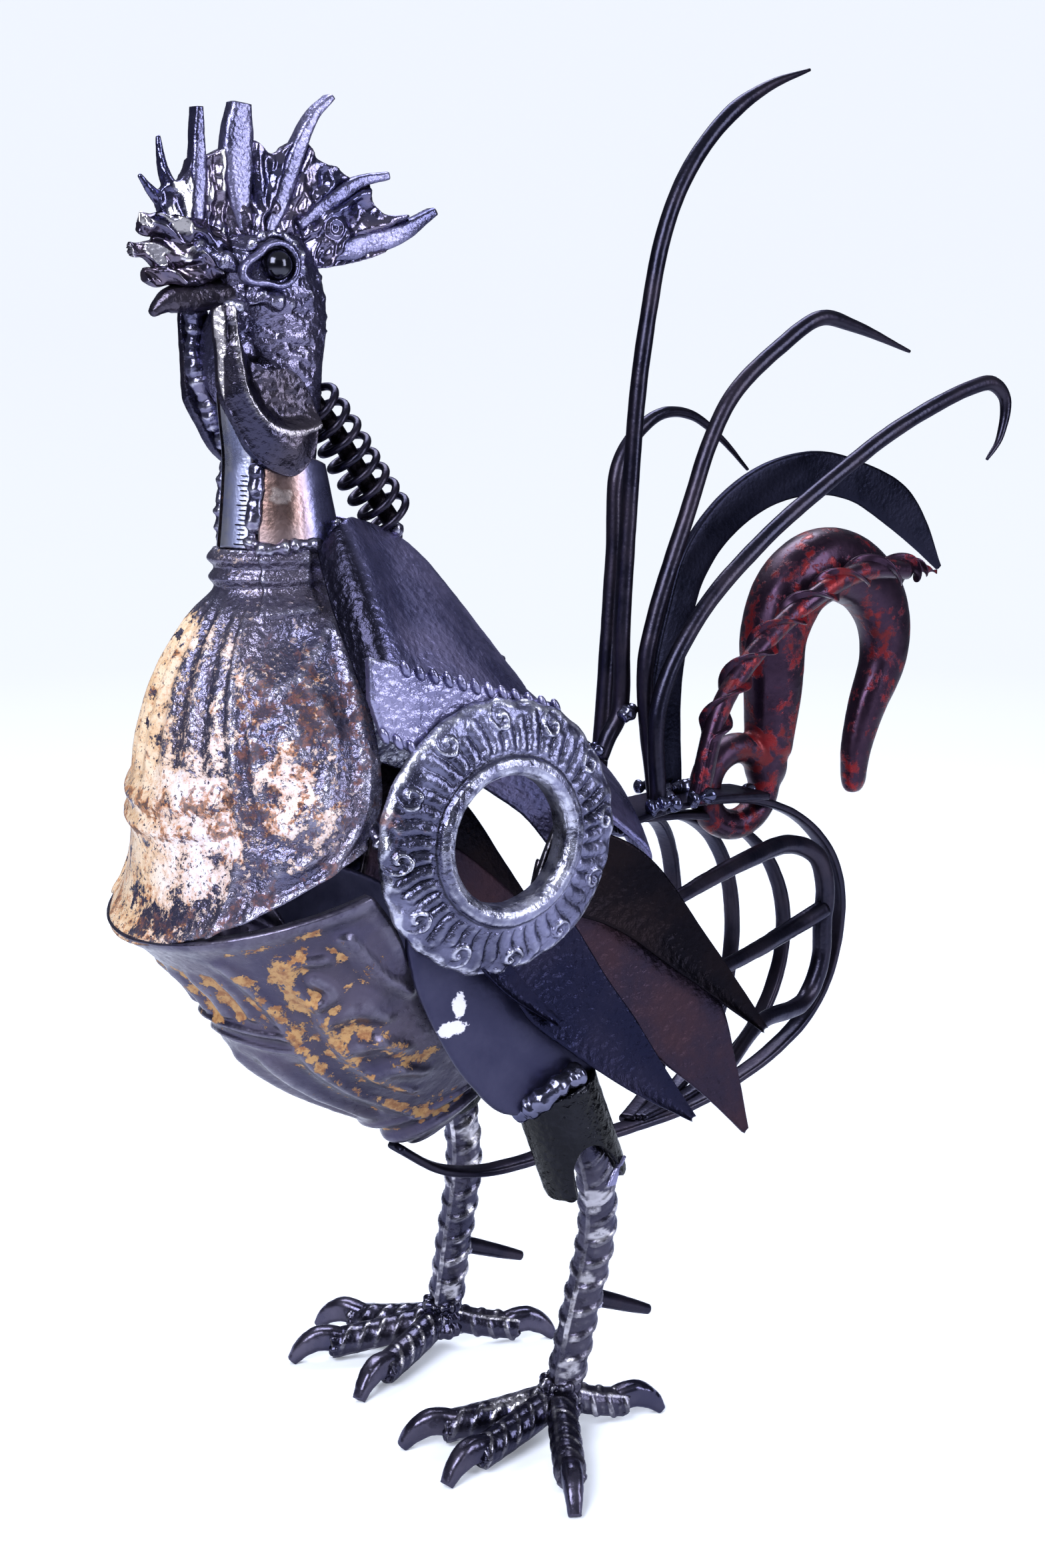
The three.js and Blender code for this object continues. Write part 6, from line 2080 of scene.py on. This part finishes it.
class StageOperator(bpy.types.Operator):
    """Pale studio floor, soft lights and the camera"""

    bl_idname = "rooster.stage"
    bl_label = "Studio"

    def execute(self, context):
        scene = context.scene
        studio_floor()
        world = bpy.data.worlds.new("studio_sky")
        world.use_nodes = True
        sky = world.node_tree.nodes["Background"]
        sky.inputs["Color"].default_value = (0.84, 0.89, 1.0, 1.0)
        sky.inputs["Strength"].default_value = 0.42
        scene.world = world
        cool = (0.86, 0.9, 1.0)
        softbox("key_left", (-1.35, -0.75, 1.25), (0.8, 1.1), 50, cool)
        softbox("fill_right", (0.75, -1.45, 0.8), (0.6, 1.2), 26, cool)
        softbox("top_back", (0.35, 0.9, 1.7), (1.1, 0.8), 36, cool)
        scene.view_settings.view_transform = "Standard"
        data = bpy.data.cameras.new("camera")
        data.sensor_fit = "VERTICAL"
        data.sensor_height = SENSOR
        data.lens = SENSOR / 2 / math.tan(math.radians(CAMERA_VIEW / 2))
        camera = bpy.data.objects.new("camera", data)
        camera.location = placed(CAMERA_PLACE)
        camera.rotation_euler = (math.radians(90 - CAMERA_DIP), 0.0, math.radians(CAMERA_HEADING))
        scene.collection.objects.link(camera)
        scene.camera = camera
        return {"FINISHED"}


class RoosterPanel(bpy.types.Panel):
    """Lists the pieces of the bird and their settings"""

    bl_idname = "VIEW3D_PT_rooster"
    bl_label = "Scrap iron rooster"
    bl_space_type = "VIEW_3D"
    bl_region_type = "UI"
    bl_category = "Rooster"

    def draw(self, context):
        for group in (context.scene.rooster_sizes, context.scene.rooster_finish):
            for key in group.__annotations__:
                self.layout.prop(group, key)
        for operator in OPERATORS:
            self.layout.operator(operator.bl_idname)


OPERATORS = (
    StageOperator, LegsOperator, SocketsOperator, BreastOperator, WingsOperator, PlatesOperator, NeckOperator,
    HeadOperator, CombOperator, TailOperator, CageOperator, WeldsOperator,
)
CLASSES = (RoosterSizes, RoosterFinish, *OPERATORS, RoosterPanel)


def register():
    for item in CLASSES:
        bpy.utils.register_class(item)
    bpy.types.Scene.rooster_sizes = bpy.props.PointerProperty(type=RoosterSizes)
    bpy.types.Scene.rooster_finish = bpy.props.PointerProperty(type=RoosterFinish)


def unregister():
    del bpy.types.Scene.rooster_finish
    del bpy.types.Scene.rooster_sizes
    for item in reversed(CLASSES):
        bpy.utils.unregister_class(item)


def main():
    register()
    for operator in OPERATORS:
        getattr(bpy.ops.rooster, operator.bl_idname.split(".")[1])()


if __name__ == "__main__":
    main()
